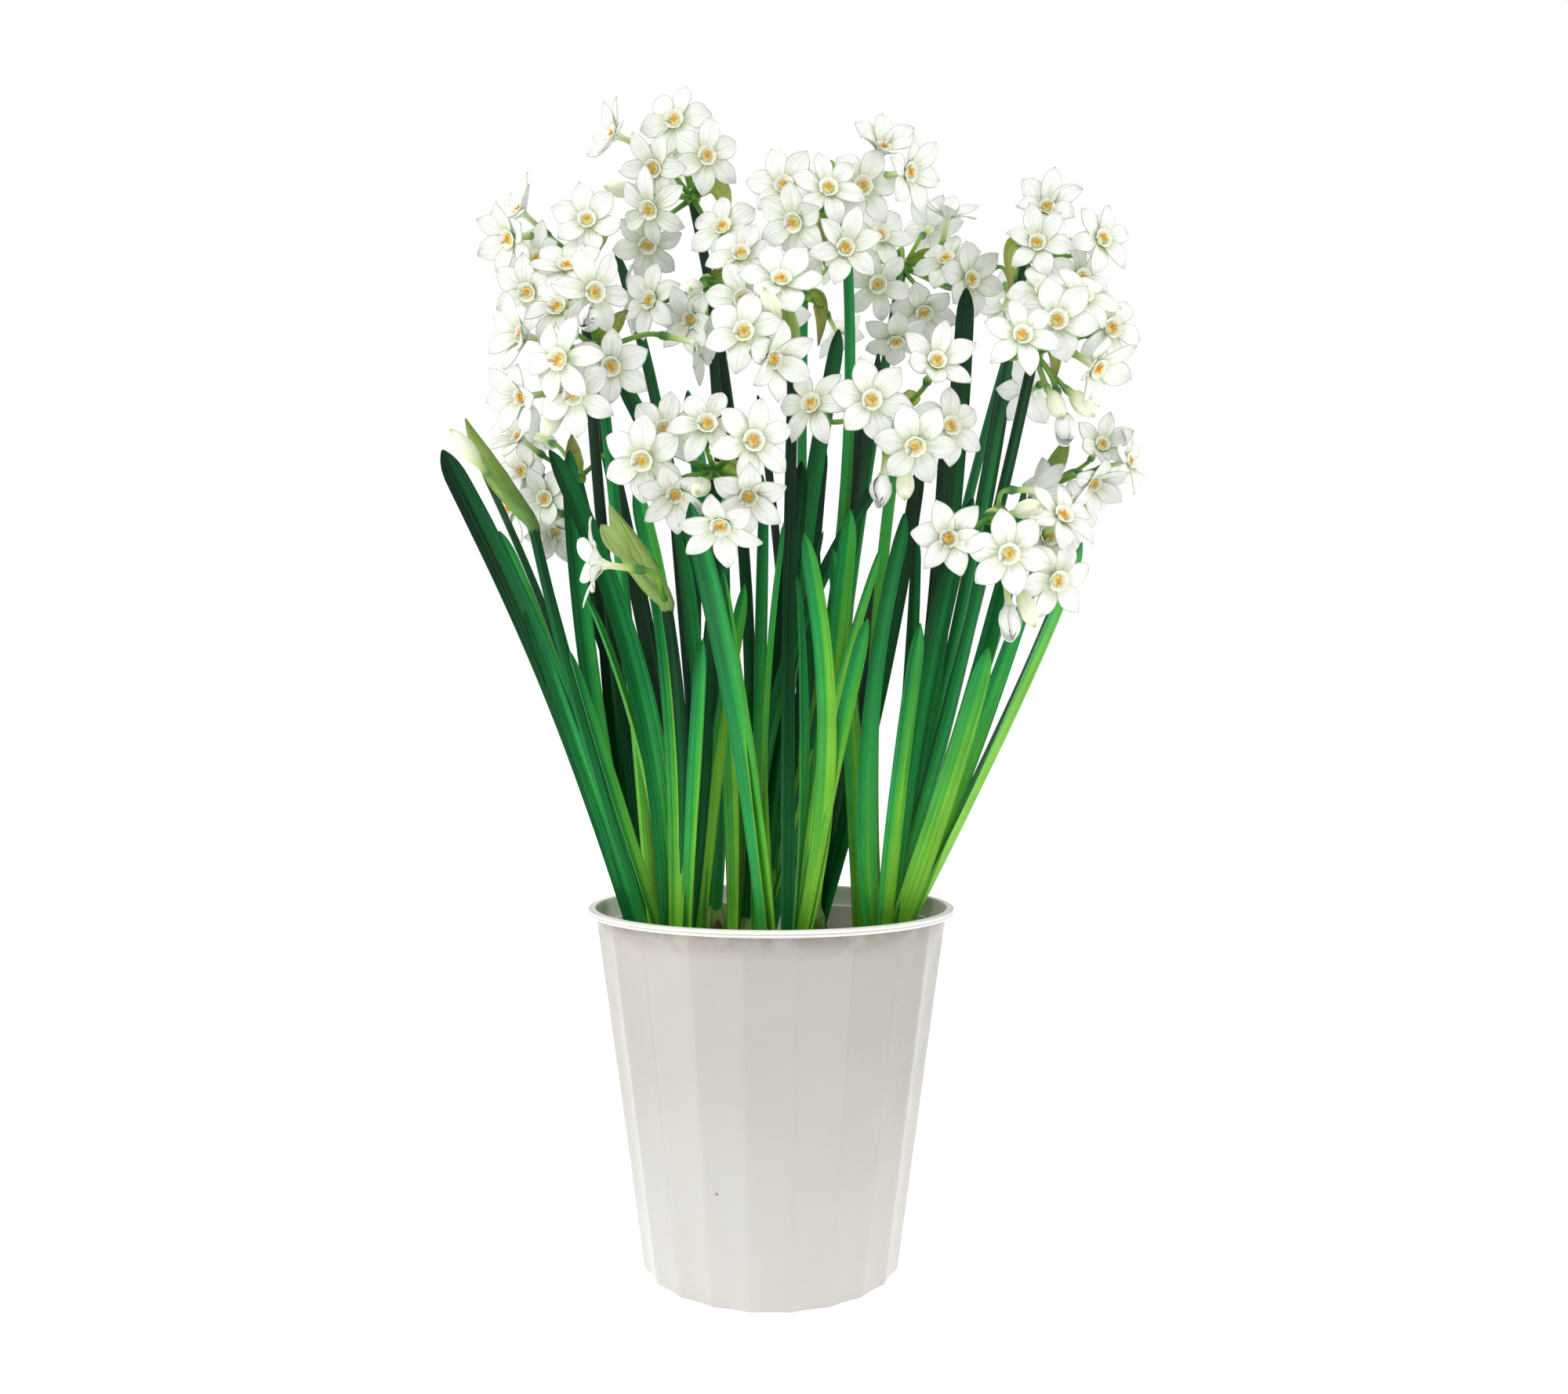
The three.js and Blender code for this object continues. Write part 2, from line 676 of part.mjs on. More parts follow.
function openFlorets() {
  const taken = [];
  const hubs = UMBELS.map((umbel) => onSight(umbel.hub, umbel.hub[2]));
  LEAVES.forEach((rows, index) => {
    for (const row of rows) {
      taken.push(curveRods(leafCurve(bulbPlaces[index], row), "leaf", -1, 10));
    }
  });
  UMBELS.forEach((umbel, u) => {
    taken.push(curveRods(stemCurve(bulbPlaces[umbel.shoot], umbel), "stem", u, 10));
    for (const spot of umbel.buds) taken.push(budRods(hubs[u], spot, u));
  });
  const florets = [];
  const settle = (u, seed, tries, mustOpen, propose) => {
    const draw = drawer(seed);
    let best = null;
    for (let i = 0; i < tries; i += 1) {
      const floret = propose(draw);
      const rods = floretRods(floret);
      const room = slack(rods, taken, u);
      if (!best || room > best.room) best = { floret, rods, room };
      if (room >= 0) break;
    }
    if (mustOpen || best.room >= 0) {
      taken.push(best.rods);
      florets.push(best.floret);
    }
  };
  UMBELS.forEach((umbel, u) => {
    umbel.front.forEach((spot, i) => {
      settle(u, 100 * u + i, SHOW_DRAWS, true, (draw) => {
        const flat = onSight(spot, hubs[u].y).sub(hubs[u]);
        const off = Math.hypot(flat.x, flat.z);
        const reach = Math.max(mix(28, 50, draw()), Math.hypot(off, 16));
        const y = hubs[u].y - Math.sqrt(reach * reach - off * off);
        const centre = onSight([spot[0] + 4 * (draw() - 0.5), spot[1] + 4 * (draw() - 0.5)], y);
        const axis = showAxis(spot, draw);
        const roll = (draw() * Math.PI) / 3;
        return { umbel: u, hub: hubs[u], centre, axis, roll };
      });
    });
  });
  UMBELS.forEach((umbel, u) => {
    for (let i = 0; i < umbel.back; i += 1) {
      settle(u, 100 * u + 50 + i, BACK_DRAWS, false, (draw) => {
        const swing = (draw() - 0.5) * (umbel.front.length ? 1.1 : 2) * Math.PI + Math.PI / 2;
        const lift = mix(-0.5, 1.05, draw());
        const reach = mix(32, 46, draw());
        const outward = vec(
          Math.cos(swing) * Math.cos(lift), Math.sin(swing) * Math.cos(lift), Math.sin(lift),
        );
        const centre = hubs[u].clone().addScaledVector(outward, reach);
        const axis = backAxis(outward, draw);
        const roll = (draw() * Math.PI) / 3;
        return { umbel: u, hub: hubs[u], centre, axis, roll };
      });
    }
  });
  return florets;
}

// One open floret with its tube and pedicel as a single closed skin. Six tepals stand round a
// short six-sided cup with a sunk middle, and their undersides run into a three-sided tube.
function floretSkin(floret) {
  const { centre, axis, roll } = floret;
  const direction = floretFrame(axis, roll);
  const points = [];
  const faces = [];
  const put = (out, angle, rise) => {
    const p = centre.clone().addScaledVector(direction(angle), out).addScaledVector(axis, rise);
    return points.push(p.toArray()) - 1;
  };
  const step = Math.PI / 3;
  const valley = [];
  const rim = [];
  const outlines = [];
  for (let k = 0; k < 6; k += 1) {
    valley.push(put(CUP_RADIUS, (k - 0.5) * step, 0));
    rim.push(put(CUP_RADIUS * 1.06, (k - 0.5) * step, CUP_HEIGHT));
  }
  const eye = put(0, 0, CUP_HEIGHT * 0.3);
  for (let k = 0; k < 6; k += 1) {
    const next = (k + 1) % 6;
    const layer = k % 2 ? 0.5 : -0.5;
    const wideOut = 10.2;
    const wideAngle = Math.asin(TEPAL_HALF_WIDTH / wideOut);
    const right = put(wideOut, k * step - wideAngle, layer);
    const left = put(wideOut, k * step + wideAngle, layer);
    const tip = put(FLORET_RADIUS, k * step, layer - 1);
    const a = valley[k];
    const b = valley[next];
    faces.push([a, right, b], [right, left, b], [right, tip, left]);
    faces.push([a, b, rim[next]], [a, rim[next], rim[k]], [rim[k], rim[next], eye]);
    outlines.push([a, right, tip, left, b]);
  }
  const ovary = centre.clone().addScaledVector(axis, -TUBE_LENGTH);
  const stalk = ovary.clone().sub(floret.hub).normalize();
  const rings = [
    [centre.clone().addScaledVector(axis, -TEPAL_ROOT), axis, TUBE_RADIUS],
    [ovary, axis, TUBE_RADIUS],
    [floret.hub.clone().addScaledVector(stalk, PEDICEL_ROOT), stalk, PEDICEL_RADIUS],
  ].map(([at, along, radius]) => {
    const ring = ringAcross(at, along, direction(step / 2), radius, 3);
    return ring.map((p) => points.push(p) - 1);
  });
  for (let j = 0; j < 3; j += 1) {
    const next = (j + 1) % 3;
    for (const outline of [outlines[2 * j], outlines[2 * j + 1]]) {
      for (let i = 0; i < 4; i += 1) faces.push([outline[i + 1], outline[i], rings[0][j]]);
    }
    faces.push([valley[(2 * j + 2) % 6], rings[0][j], rings[0][next]]);
    for (let r = 0; r < 2; r += 1) {
      const [near, far] = [rings[r], rings[r + 1]];
      faces.push([near[next], near[j], far[j]], [near[next], far[j], far[next]]);
    }
  }
  const [e0, e1, e2] = rings[2];
  faces.push([e0, e2, e1]);
  return surface(points, faces);
}

// Line from the hub out to the tip of a bud.
function budLine(hub, spot) {
  const flat = onSight(spot, hub.y).sub(hub);
  const centre = onSight(spot, hub.y - Math.max(28, 38 - Math.hypot(flat.x, flat.z)));
  const outward = centre.clone().sub(hub).normalize();
  return { outward, reach: centre.distanceTo(hub) + BUD_LENGTH / 2 };
}

function budRods(hub, spot, umbel) {
  const { outward, reach } = budLine(hub, spot);
  const p = hub.clone().addScaledVector(outward, STALK_START);
  const q = hub.clone().addScaledVector(outward, reach);
  return { list: [{ p, q, kind: "bud" }], umbel, centre: q };
}

function budSkin(hub, spot) {
  const { outward, reach } = budLine(hub, spot);
  const side = outward.clone().cross(vec(0.31, 0.2, 0.93)).normalize();
  const rows = [
    [PEDICEL_ROOT, PEDICEL_RADIUS],
    [reach - BUD_LENGTH, 1.5],
    [reach - 0.65 * BUD_LENGTH, BUD_RADIUS * 0.95],
    [reach - 0.3 * BUD_LENGTH, BUD_RADIUS],
    [reach, 0.8],
  ];
  const rings = rows.map(([far, radius]) => {
    return ringAcross(hub.clone().addScaledVector(outward, far), outward, side, radius, 3);
  });
  return skin(rings);
}

// ---- Umbels ----

function hubBead(umbel, hub) {
  const along = stemCurve(bulbPlaces[umbel.shoot], umbel).getTangent(1);
  const profile = [[0, -HUB_HALF], [3, -HUB_HALF], [HUB_RADIUS, 0], [0, HUB_HALF + 1]];
  const bead = turned(profile, 5);
  bead.applyQuaternion(new THREE.Quaternion().setFromUnitVectors(UP, along));
  return bead.translate(hub.x, hub.y, hub.z);
}

function spatheSkin(umbel, hub) {
  const [across, depth, up, width] = umbel.spathe;
  const tip = hub.clone().add(vec(across, depth, up));
  const belly = hub.clone().add(vec(across * 0.65, depth * 0.65, Math.max(up * 0.5, 0) + 2));
  const curve = bend(hub, belly, tip);
  const half = width / 2;
  if (umbel.pod) {
    const rings = [[0, 0.7], [0.25, 0.9], [0.5, 1], [0.78, 0.62], [1, 0.1]].map(([t, wide]) => {
      return ringAcross(curve.getPoint(t), curve.getTangent(t), FRONT, half * wide, POD_SIDES);
    });
    return skin(rings);
  }
  const stations = [[0, half * 0.35], [0.3, half], [0.65, half * 0.8], [1, half * 0.1]];
  return strap(curve, stations, 1.8, 1.6, -90, 0);
}

const florets = openFlorets();

function head(u) {
  const umbel = UMBELS[u];
  const hub = onSight(umbel.hub, umbel.hub[2]);
  let body = solid(hubBead(umbel, hub)).add(solid(spatheSkin(umbel, hub)));
  for (const floret of florets) {
    if (floret.umbel === u) body = body.add(solid(floretSkin(floret)));
  }
  for (const spot of umbel.buds) body = body.add(solid(budSkin(hub, spot)));
  return shape(body);
}

// ---- The potted plant ----

const potPlastic = { color: 0xd7d4cf, roughness: 0.25, metalness: 0 };
const pottingSoil = { color: 0x3b2a1e, roughness: 0.95, metalness: 0 };
const bulbSkin = { color: 0x7a4f2c, roughness: 0.7, metalness: 0 };
const leafGreen = { color: 0x2f8a3c, roughness: 0.45, metalness: 0 };
const petalWhite = { color: 0xf6f6f0, roughness: 0.6, metalness: 0 };

const group = new THREE.Group();

function add(name, geometry, look) {
  const mesh = new THREE.Mesh(geometry, new THREE.MeshStandardMaterial(look));
  mesh.name = name;
  group.add(mesh);
}

const pad = (number) => String(number).padStart(2, "0");

add("pot", pot(), potPlastic);
add("soil", soil(), pottingSoil);
bulbPlaces.forEach((place, i) => add(`bulb_${i + 1}`, bulb(place), bulbSkin));
bulbPlaces.forEach((place, i) => add(`shoot_${i + 1}`, shoot(i), leafGreen));
UMBELS.forEach((umbel, u) => add(`head_${pad(u + 1)}`, head(u), petalWhite));

export default group;
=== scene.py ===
import math

import bmesh
import bpy
import numpy as np
from mathutils import Matrix, Vector, noise


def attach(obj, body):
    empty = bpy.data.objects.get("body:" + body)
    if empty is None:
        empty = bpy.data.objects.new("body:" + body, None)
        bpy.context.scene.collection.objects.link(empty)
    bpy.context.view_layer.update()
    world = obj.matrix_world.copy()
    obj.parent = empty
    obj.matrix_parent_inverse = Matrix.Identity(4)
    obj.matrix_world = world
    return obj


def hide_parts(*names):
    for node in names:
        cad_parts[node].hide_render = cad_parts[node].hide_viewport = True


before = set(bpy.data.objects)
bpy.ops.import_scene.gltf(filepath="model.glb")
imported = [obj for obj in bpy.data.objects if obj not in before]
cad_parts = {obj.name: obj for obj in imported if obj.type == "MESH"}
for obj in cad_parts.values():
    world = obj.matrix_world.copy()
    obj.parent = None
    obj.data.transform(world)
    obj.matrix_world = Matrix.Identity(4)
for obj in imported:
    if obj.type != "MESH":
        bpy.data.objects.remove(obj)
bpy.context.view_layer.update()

# ---- The pot ----
# One injection-moulded grower's pot of glossy off-white plastic: a beaded lip, 22 shallow flutes
# down a straight taper, and a small ledge inside below the rim where the next pot would nest.

MM = 0.001
POT_HEIGHT = 160
POT_RIM_RADIUS = 82.5
POT_WALL_TOP_RADIUS = 79.4
POT_BASE_RADIUS = 58
POT_WALL = 2
LIP_FOOT = 157
FLOOR_THICKNESS = 2.5
FLUTES = 22
FLUTE_ANGLE = 2 * math.pi / FLUTES
FLUTE_HOLLOW = 0.6
FLUTE_TOP = 154
CUTS_PER_FLUTE = 8


def mix(low, high, share):
    return (1 - share) * low + share * high


def wall_radius(height):
    return mix(POT_BASE_RADIUS, POT_WALL_TOP_RADIUS, height / LIP_FOOT)


def shade(red, green, blue):
    """A paint colour written as on a screen, turned into light values."""
    parts = [part / 255 for part in (red, green, blue)]
    return tuple(p / 12.92 if p < 0.04 else ((p + 0.055) / 1.055) ** 2.4 for p in parts) + (1,)


def node(tree, kind, inputs=None, **settings):
    """One shader node with its settings, and each input linked to a socket or set to a value."""
    made = tree.nodes.new(kind)
    for key, value in settings.items():
        setattr(made, key, value)
    for key, value in (inputs or {}).items():
        if isinstance(value, bpy.types.NodeSocket):
            tree.links.new(value, made.inputs[key])
        else:
            made.inputs[key].default_value = value
    return made


def own_place(tree):
    return node(tree, "ShaderNodeTexCoord").outputs["Object"]


def split(tree, vector):
    return node(tree, "ShaderNodeSeparateXYZ", {0: vector}).outputs


def on_map(tree):
    """Place on the piece's own UV map, as X round it and Y along it."""
    return split(tree, node(tree, "ShaderNodeTexCoord").outputs["UV"])


def own_tone(tree):
    """The number that tone_of wrote on the piece."""
    return node(tree, "ShaderNodeAttribute", attribute_name="tone").outputs["Fac"]


def sums(tree, way, first, second=0.0):
    return node(tree, "ShaderNodeMath", {0: first, 1: second}, operation=way).outputs[0]


def span(tree, value, low, high, to_low=0.0, to_high=1.0):
    bounds = {"Value": value, "From Min": low, "From Max": high, "To Min": to_low, "To Max": to_high}
    return node(tree, "ShaderNodeMapRange", bounds).outputs["Result"]


def stain(tree, tint, share, colour, most=1.0, way="MIX"):
    """Lays a screen colour over a tint, by a share in 0..1 times the most that it may count."""
    sockets = {0: sums(tree, "MULTIPLY", share, most), 6: tint, 7: shade(*colour)}
    return node(tree, "ShaderNodeMix", sockets, data_type="RGBA", blend_type=way).outputs[2]


def ramp(tree, value, *stops):
    """Colours along a value, from rows of a place in 0..1 and a screen colour."""
    made = node(tree, "ShaderNodeValToRGB", {"Fac": value})
    elements = made.color_ramp.elements
    elements.remove(elements[1])
    elements[0].position, elements[0].color = stops[0][0], shade(*stops[0][1:])
    for place, *colour in stops[1:]:
        elements.new(place).color = shade(*colour)
    return made.outputs["Color"]


def new_finish(name, **fixed):
    """A material whose even values sit on its own shader."""
    made = bpy.data.materials.new(name)
    made.use_nodes = True
    shader = made.node_tree.nodes["Principled BSDF"]
    for key, value in fixed.items():
        shader.inputs[key.replace("_", " ")].default_value = value
    return made, made.node_tree, shader


def dress(tree, shader, tint, height, depth, strength=1.0):
    """Gives a finish its colour, and a relief of that depth in metres."""
    tree.links.new(tint, shader.inputs["Base Color"])
    sockets = {"Height": height, "Distance": depth, "Strength": strength}
    tree.links.new(node(tree, "ShaderNodeBump", sockets).outputs["Normal"], shader.inputs["Normal"])


def new_effect(name, inputs, output):
    """A node group with number or vector inputs and one share from 0 to 1 as its output."""
    tree = bpy.data.node_groups.new(name, "ShaderNodeTree")
    for label, kind in inputs.items():
        tree.interface.new_socket(label, in_out="INPUT", socket_type="NodeSocket" + kind)
    tree.interface.new_socket(output, in_out="OUTPUT", socket_type="NodeSocketFloat")
    return tree, tree.nodes.new("NodeGroupInput").outputs, tree.nodes.new("NodeGroupOutput").inputs


clouding, given, put_out = new_effect(
    "clouding", {"Vector": "Vector", "Scale": "Float", "Low": "Float", "High": "Float"}, "Share"
)
cloud = node(clouding, "ShaderNodeTexNoise", {"Vector": given[0], "Scale": given[1], "Detail": 3.0})
clouding.links.new(span(clouding, cloud.outputs[0], given[2], given[3]), put_out[0])


def clouds(tree, vector, scale, low=0.35, high=0.65):
    inputs = {"Vector": vector, "Scale": float(scale), "Low": low, "High": high}
    return node(tree, "ShaderNodeGroup", inputs, node_tree=clouding).outputs[0]


def deselect():
    bpy.ops.object.select_all(action="DESELECT")


def open_mesh(kind):
    """Opens the active object for editing by its edges or faces, with none selected."""
    bpy.ops.object.mode_set(mode="EDIT")
    bpy.ops.mesh.select_mode(type=kind)
    bpy.ops.mesh.select_all(action="DESELECT")


def pick(things):
    """Makes these the whole selection, with the first of them active."""
    deselect()
    for thing in things:
        thing.select_set(True)
    bpy.context.view_layer.objects.active = things[0]


def join(parts):
    pick(parts)
    if len(parts) > 1:
        bpy.ops.object.join()
    return bpy.context.object


def settle(name, parts, nodes, sharp=40):
    """Joins parts into one piece of the row, smooth but for its sharp edges."""
    piece = join(parts)
    piece.name = piece.data.name = name
    bpy.ops.object.shade_smooth_by_angle(angle=math.radians(sharp))
    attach(piece, "root")
    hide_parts(*nodes)
    deselect()
    return piece


pot_section = [
    (POT_BASE_RADIUS - 1, 0), (wall_radius(0.5) - 0.3, 0.4), (wall_radius(1.4), 1.4),
    (wall_radius(30), 30), (wall_radius(64), 64), (wall_radius(105), 105),
    (wall_radius(148), 148), (wall_radius(154), 154), (POT_WALL_TOP_RADIUS, LIP_FOOT - 0.2),
    (POT_RIM_RADIUS - 0.8, LIP_FOOT), (POT_RIM_RADIUS - 0.1, LIP_FOOT + 0.3),
    (POT_RIM_RADIUS - 0.1, LIP_FOOT + 0.9), (POT_RIM_RADIUS - 0.7, LIP_FOOT + 1.2),
    (POT_RIM_RADIUS - 0.7, LIP_FOOT + 1.4), (POT_RIM_RADIUS, LIP_FOOT + 1.7),
    (POT_RIM_RADIUS, LIP_FOOT + 2.4), (POT_RIM_RADIUS - 0.5, POT_HEIGHT - 0.1),
    (POT_RIM_RADIUS - 1.3, POT_HEIGHT), (POT_WALL_TOP_RADIUS, POT_HEIGHT - 0.1),
    (POT_WALL_TOP_RADIUS - 0.5, POT_HEIGHT - 0.7), (POT_WALL_TOP_RADIUS - 0.8, LIP_FOOT),
    (wall_radius(151) - 1, 151), (wall_radius(150.6) - 1.3, 150.5),
    (wall_radius(150) - POT_WALL, 150.2), (wall_radius(60) - POT_WALL, 60),
    (wall_radius(FLOOR_THICKNESS) - POT_WALL, FLOOR_THICKNESS),
]
deselect()
bpy.ops.mesh.primitive_circle_add(
    vertices=FLUTES * CUTS_PER_FLUTE, radius=pot_section[0][0] * MM, fill_type="TRIFAN"
)
pot = bpy.context.object
open_mesh("EDGE")
for edge in bmesh.from_edit_mesh(pot.data).edges:
    edge.select_set(edge.is_boundary)
for (radius, height), (next_radius, next_height) in zip(pot_section, pot_section[1:]):
    rise = (0, 0, (next_height - height) * MM)
    bpy.ops.mesh.extrude_region_move(TRANSFORM_OT_translate={"value": rise})
    spread = next_radius / radius
    bpy.ops.transform.resize(value=(spread, spread, 1), center_override=(0, 0, next_height * MM))
bpy.ops.mesh.edge_face_add()
bpy.ops.mesh.select_all(action="SELECT")
bpy.ops.mesh.normals_make_consistent(inside=False)
bpy.ops.object.mode_set(mode="OBJECT")
for vertex in pot.data.vertices:
    x, y, z = vertex.co / MM
    radius = math.hypot(x, y)
    if radius > wall_radius(z) - POT_WALL / (3 if z > 0.2 else 1) and z < FLUTE_TOP:
        off_ridge = abs((math.atan2(y, x) / FLUTE_ANGLE) % 1 - 0.5)
        flat = math.cos(FLUTE_ANGLE / 2) / math.cos(off_ridge * FLUTE_ANGLE)
        hollow = FLUTE_HOLLOW * (1 - (2 * off_ridge) ** 2)
        depth = min(1, max(0, (FLUTE_TOP - z) / 6))
        vertex.co.xy *= 1 + depth * (flat - hollow / radius - 1)

pot_plastic, tree, shader = new_finish("off_white_plastic", IOR=1.5)
here = own_place(tree)
spot = split(tree, here)
height = spot["Z"]
# Painted shade and reflection: the pot's colour is painted lighter near its foot, as if lit by the
# floor, and darker towards the lip, as if in shade.
shade_by_height = span(tree, clouds(tree, here, 9), 0.0, 1.0, -0.012, 0.012)
shade_by_height = span(tree, sums(tree, "ADD", height, shade_by_height), 0.0, 0.16)
tint = ramp(
    tree, shade_by_height, (0.0, 198, 196, 192), (0.28, 184, 182, 177), (0.5, 170, 167, 161),
    (0.7, 162, 159, 152), (1.0, 155, 151, 144),
)
# Painted reflection: each flute facet gets its own lighter or darker tone, standing in for the
# reflections that differ from facet to facet.
facet_reflection_panel = sums(tree, "DIVIDE", sums(tree, "ARCTAN2", spot["Y"], spot["X"]), FLUTE_ANGLE)
facet_reflection_panel = node(tree, "ShaderNodeTexWhiteNoise", {"W": sums(tree, "FLOOR", facet_reflection_panel)}, noise_dimensions="1D")
tint = stain(tree, tint, facet_reflection_panel.outputs["Value"], (206, 203, 198), 0.4)
tint = stain(tree, tint, clouds(tree, here, 13, 0.45, 0.7), (188, 178, 171), 0.4)
dots = node(tree, "ShaderNodeTexVoronoi", {"Vector": here, "Scale": 95.0, "Randomness": 1.0})
speck = span(tree, dots.outputs["Distance"], 0.05, 0.07, 1.0, 0.0)
speck = sums(tree, "MULTIPLY", speck, clouds(tree, here, 47, 0.56, 0.6))
tint = stain(tree, tint, speck, (104, 94, 86), 0.8)
# A darker brownish band just under the lip: partly dirt, partly painted shade under the overhang of the
# lip.
grime_and_lip_shade = sums(tree, "MULTIPLY", span(tree, height, 0.147, 0.1568), clouds(tree, here, 90, 0.3, 0.6))
tint = stain(tree, tint, grime_and_lip_shade, (126, 118, 104), 0.75)
tint = stain(tree, tint, span(tree, height, 0.1568, 0.1572), (228, 226, 222))
dull = span(tree, clouds(tree, here, 60), 0.0, 1.0, 0.14, 0.26)
tree.links.new(dull, shader.inputs["Roughness"])
dress(tree, shader, tint, clouds(tree, here, 38, 0.0, 1.0), 0.0012)
pot.data.materials.append(pot_plastic)

# The inside wall is the same plastic, painted lighter and a little pink as painted light, to lift the
# shade and the green light from the leaves inside the pot.
brightened_inside_plastic, tree, shader = new_finish("off_white_inside", Roughness=0.6)
here = own_place(tree)
tint = ramp(tree, clouds(tree, here, 40), (0.0, 255, 246, 244), (1.0, 250, 240, 238))
tree.links.new(tint, shader.inputs["Base Color"])
pot.data.materials.append(brightened_inside_plastic)
for face in pot.data.polygons:
    middle = face.center
    faces_in = face.normal.xy.dot(middle.xy) < 0 or middle.xy.length < 0.9 * POT_BASE_RADIUS * MM
    face.material_index = 1 if faces_in and middle.z > MM else 0
settle("grower_pot", [pot], ["pot"])

# ---- The potting mix ----
# Loose dark mix of peat and composted bark that fills the pot to some 40 mm below the rim, with
# bark chips and a few white grains of perlite lying on it.

SOIL_TOP = 121
SOIL_FOOT = 2.8
SOIL_WAVES = 1.4
SOIL_RINGS = 14
CHIPS = 190
CHIP_REACH = 69


def drawer(seed):
    """Even draws in 0..1 from a whole-number seed, the same on every run."""
    state = seed * 7919 + 17

    def draw():
        nonlocal state
        state = (state * 1664525 + 1013904223) % 4294967296
        return state / 4294967296

    draw()
    draw()
    return draw


def fill_radius(height):
    return wall_radius(height) - POT_WALL - 0.3


deselect()
bpy.ops.mesh.primitive_cylinder_add(
    vertices=72, radius=fill_radius(SOIL_TOP) * MM, depth=(SOIL_TOP - SOIL_FOOT) * MM,
    location=(0, 0, (SOIL_TOP + SOIL_FOOT) / 2 * MM),
)
soil = bpy.context.object
bpy.ops.object.transform_apply(location=True)
open_mesh("FACE")
for face in bmesh.from_edit_mesh(soil.data).faces:
    face.select_set(face.normal.z < -0.9)
foot = fill_radius(SOIL_FOOT) / fill_radius(SOIL_TOP)
bpy.ops.transform.resize(value=(foot, foot, 1), center_override=(0, 0, 0))
for face in bmesh.from_edit_mesh(soil.data).faces:
    face.select_set(face.normal.z > 0.9)
for ring in range(SOIL_RINGS):
    bpy.ops.mesh.inset(thickness=fill_radius(SOIL_TOP) / (SOIL_RINGS + 1) * MM)
bpy.ops.mesh.poke()
bpy.ops.object.mode_set(mode="OBJECT")


def soil_height(x, y):
    angle = math.atan2(y, x)
    grain = noise.fractal(Vector((x, y, 3)) * 0.11, 0.7, 2.1, 5)
    return SOIL_TOP + SOIL_WAVES * math.sin(5 * angle) * math.cos(3 * angle) + 1.6 * grain


for vertex in soil.data.vertices:
    if vertex.co.z > (SOIL_TOP - 1) * MM:
        vertex.co.z = soil_height(vertex.co.x / MM, vertex.co.y / MM) * MM

mix_brown, tree, shader = new_finish("peat_and_bark", Roughness=0.95, Specular_IOR_Level=0.2)
here = own_place(tree)
tint = ramp(
    tree, clouds(tree, here, 420, 0.25, 0.75), (0.0, 24, 16, 11), (0.45, 58, 40, 27),
    (0.8, 92, 64, 42), (1.0, 128, 96, 66),
)
dress(tree, shader, tint, clouds(tree, here, 700, 0.2, 0.8), 0.0008)
soil.data.materials.append(mix_brown)
settle("potting_mix", [soil], ["soil"], 75)

chip_bark, tree, shader = new_finish("bark_chip", Roughness=0.85)
here = own_place(tree)
own = own_tone(tree)
tint = ramp(
    tree, own, (0.0, 46, 30, 20), (0.5, 96, 64, 40), (0.9, 140, 102, 68), (0.94, 226, 222, 212),
)
grain = clouds(tree, here, 900)
tint = stain(tree, tint, grain, (38, 26, 18), 0.5)
dress(tree, shader, tint, grain, 0.0004)


def tone_of(mesh, value):
    """Writes one number on all points of a mesh, by which its finish varies from its like."""
    marked = mesh.attributes.new("tone", "FLOAT", "POINT")
    marked.data.foreach_set("value", np.full(len(mesh.vertices), value, np.float32))


def add(name, data):
    """Puts a new object of that mesh, lamp or camera into the scene."""
    made = bpy.data.objects.new(name, data)
    bpy.context.collection.objects.link(made)
    return made


def blank(*finishes):
    """Turns the object just made into a bare mesh in these finishes, to be copied."""
    made = bpy.context.object
    mesh = made.data
    bpy.data.objects.remove(made)
    for finish in finishes:
        mesh.materials.append(finish)
    return mesh


deselect()
bpy.ops.mesh.primitive_uv_sphere_add(segments=8, ring_count=5, radius=1)
chip_blank = blank(chip_bark)
chips = []
draw = drawer(7)
for number in range(CHIPS):
    angle, reach = 2 * math.pi * draw(), CHIP_REACH * math.sqrt(draw())
    x, y = reach * math.cos(angle), reach * math.sin(angle)
    size = Vector((mix(1.2, 4.2, draw() ** 2), mix(1, 2.6, draw()), mix(0.6, 1.4, draw())))
    turn = Matrix.Rotation(6.3 * draw(), 4, "Z") @ Matrix.Rotation(0.5 * (draw() - 0.5), 4, "X")
    chip = chip_blank.copy()
    for vertex in chip.vertices:
        rough = 1 + 0.45 * noise.noise(vertex.co * 1.7 + Vector((number, 0, 0)))
        vertex.co = turn @ (vertex.co * size * rough)
        vertex.co = (vertex.co + Vector((x, y, soil_height(x, y) + size.z * 0.5))) * MM
    tone_of(chip, draw())
    chips.append(add("chip", chip))
settle("bark_chips", chips, ["soil"], 60)

# ---- The bulbs ----
# Eight round bulbs set close together, half out of the mix. Each is wrapped in a brown papery
# tunic with lengthwise veins, whose dry torn tips stand up round the neck of the shoot.

BULB_RING = 52.5
BULB_ANGLES = [173, 224, 276, 327, 19, 70, 122]
MIDDLE_BULB = (-10.0, -2.0)
NECK_RADIUS = 9
BULB_NOSE = 140
TUNIC_TIPS = 7
TUNIC_TIP_FOOT = 133.5
TUNIC_TIP_RING = 9.7
bulb_outline = [
    (0, 94), (10, 94.4), (15.5, 101), (17.8, 110), (17.9, 118), (16.6, 125), (14, 131.5),
    (11, 136), (9.3, 139), (8.8, BULB_NOSE), (0, BULB_NOSE),
]

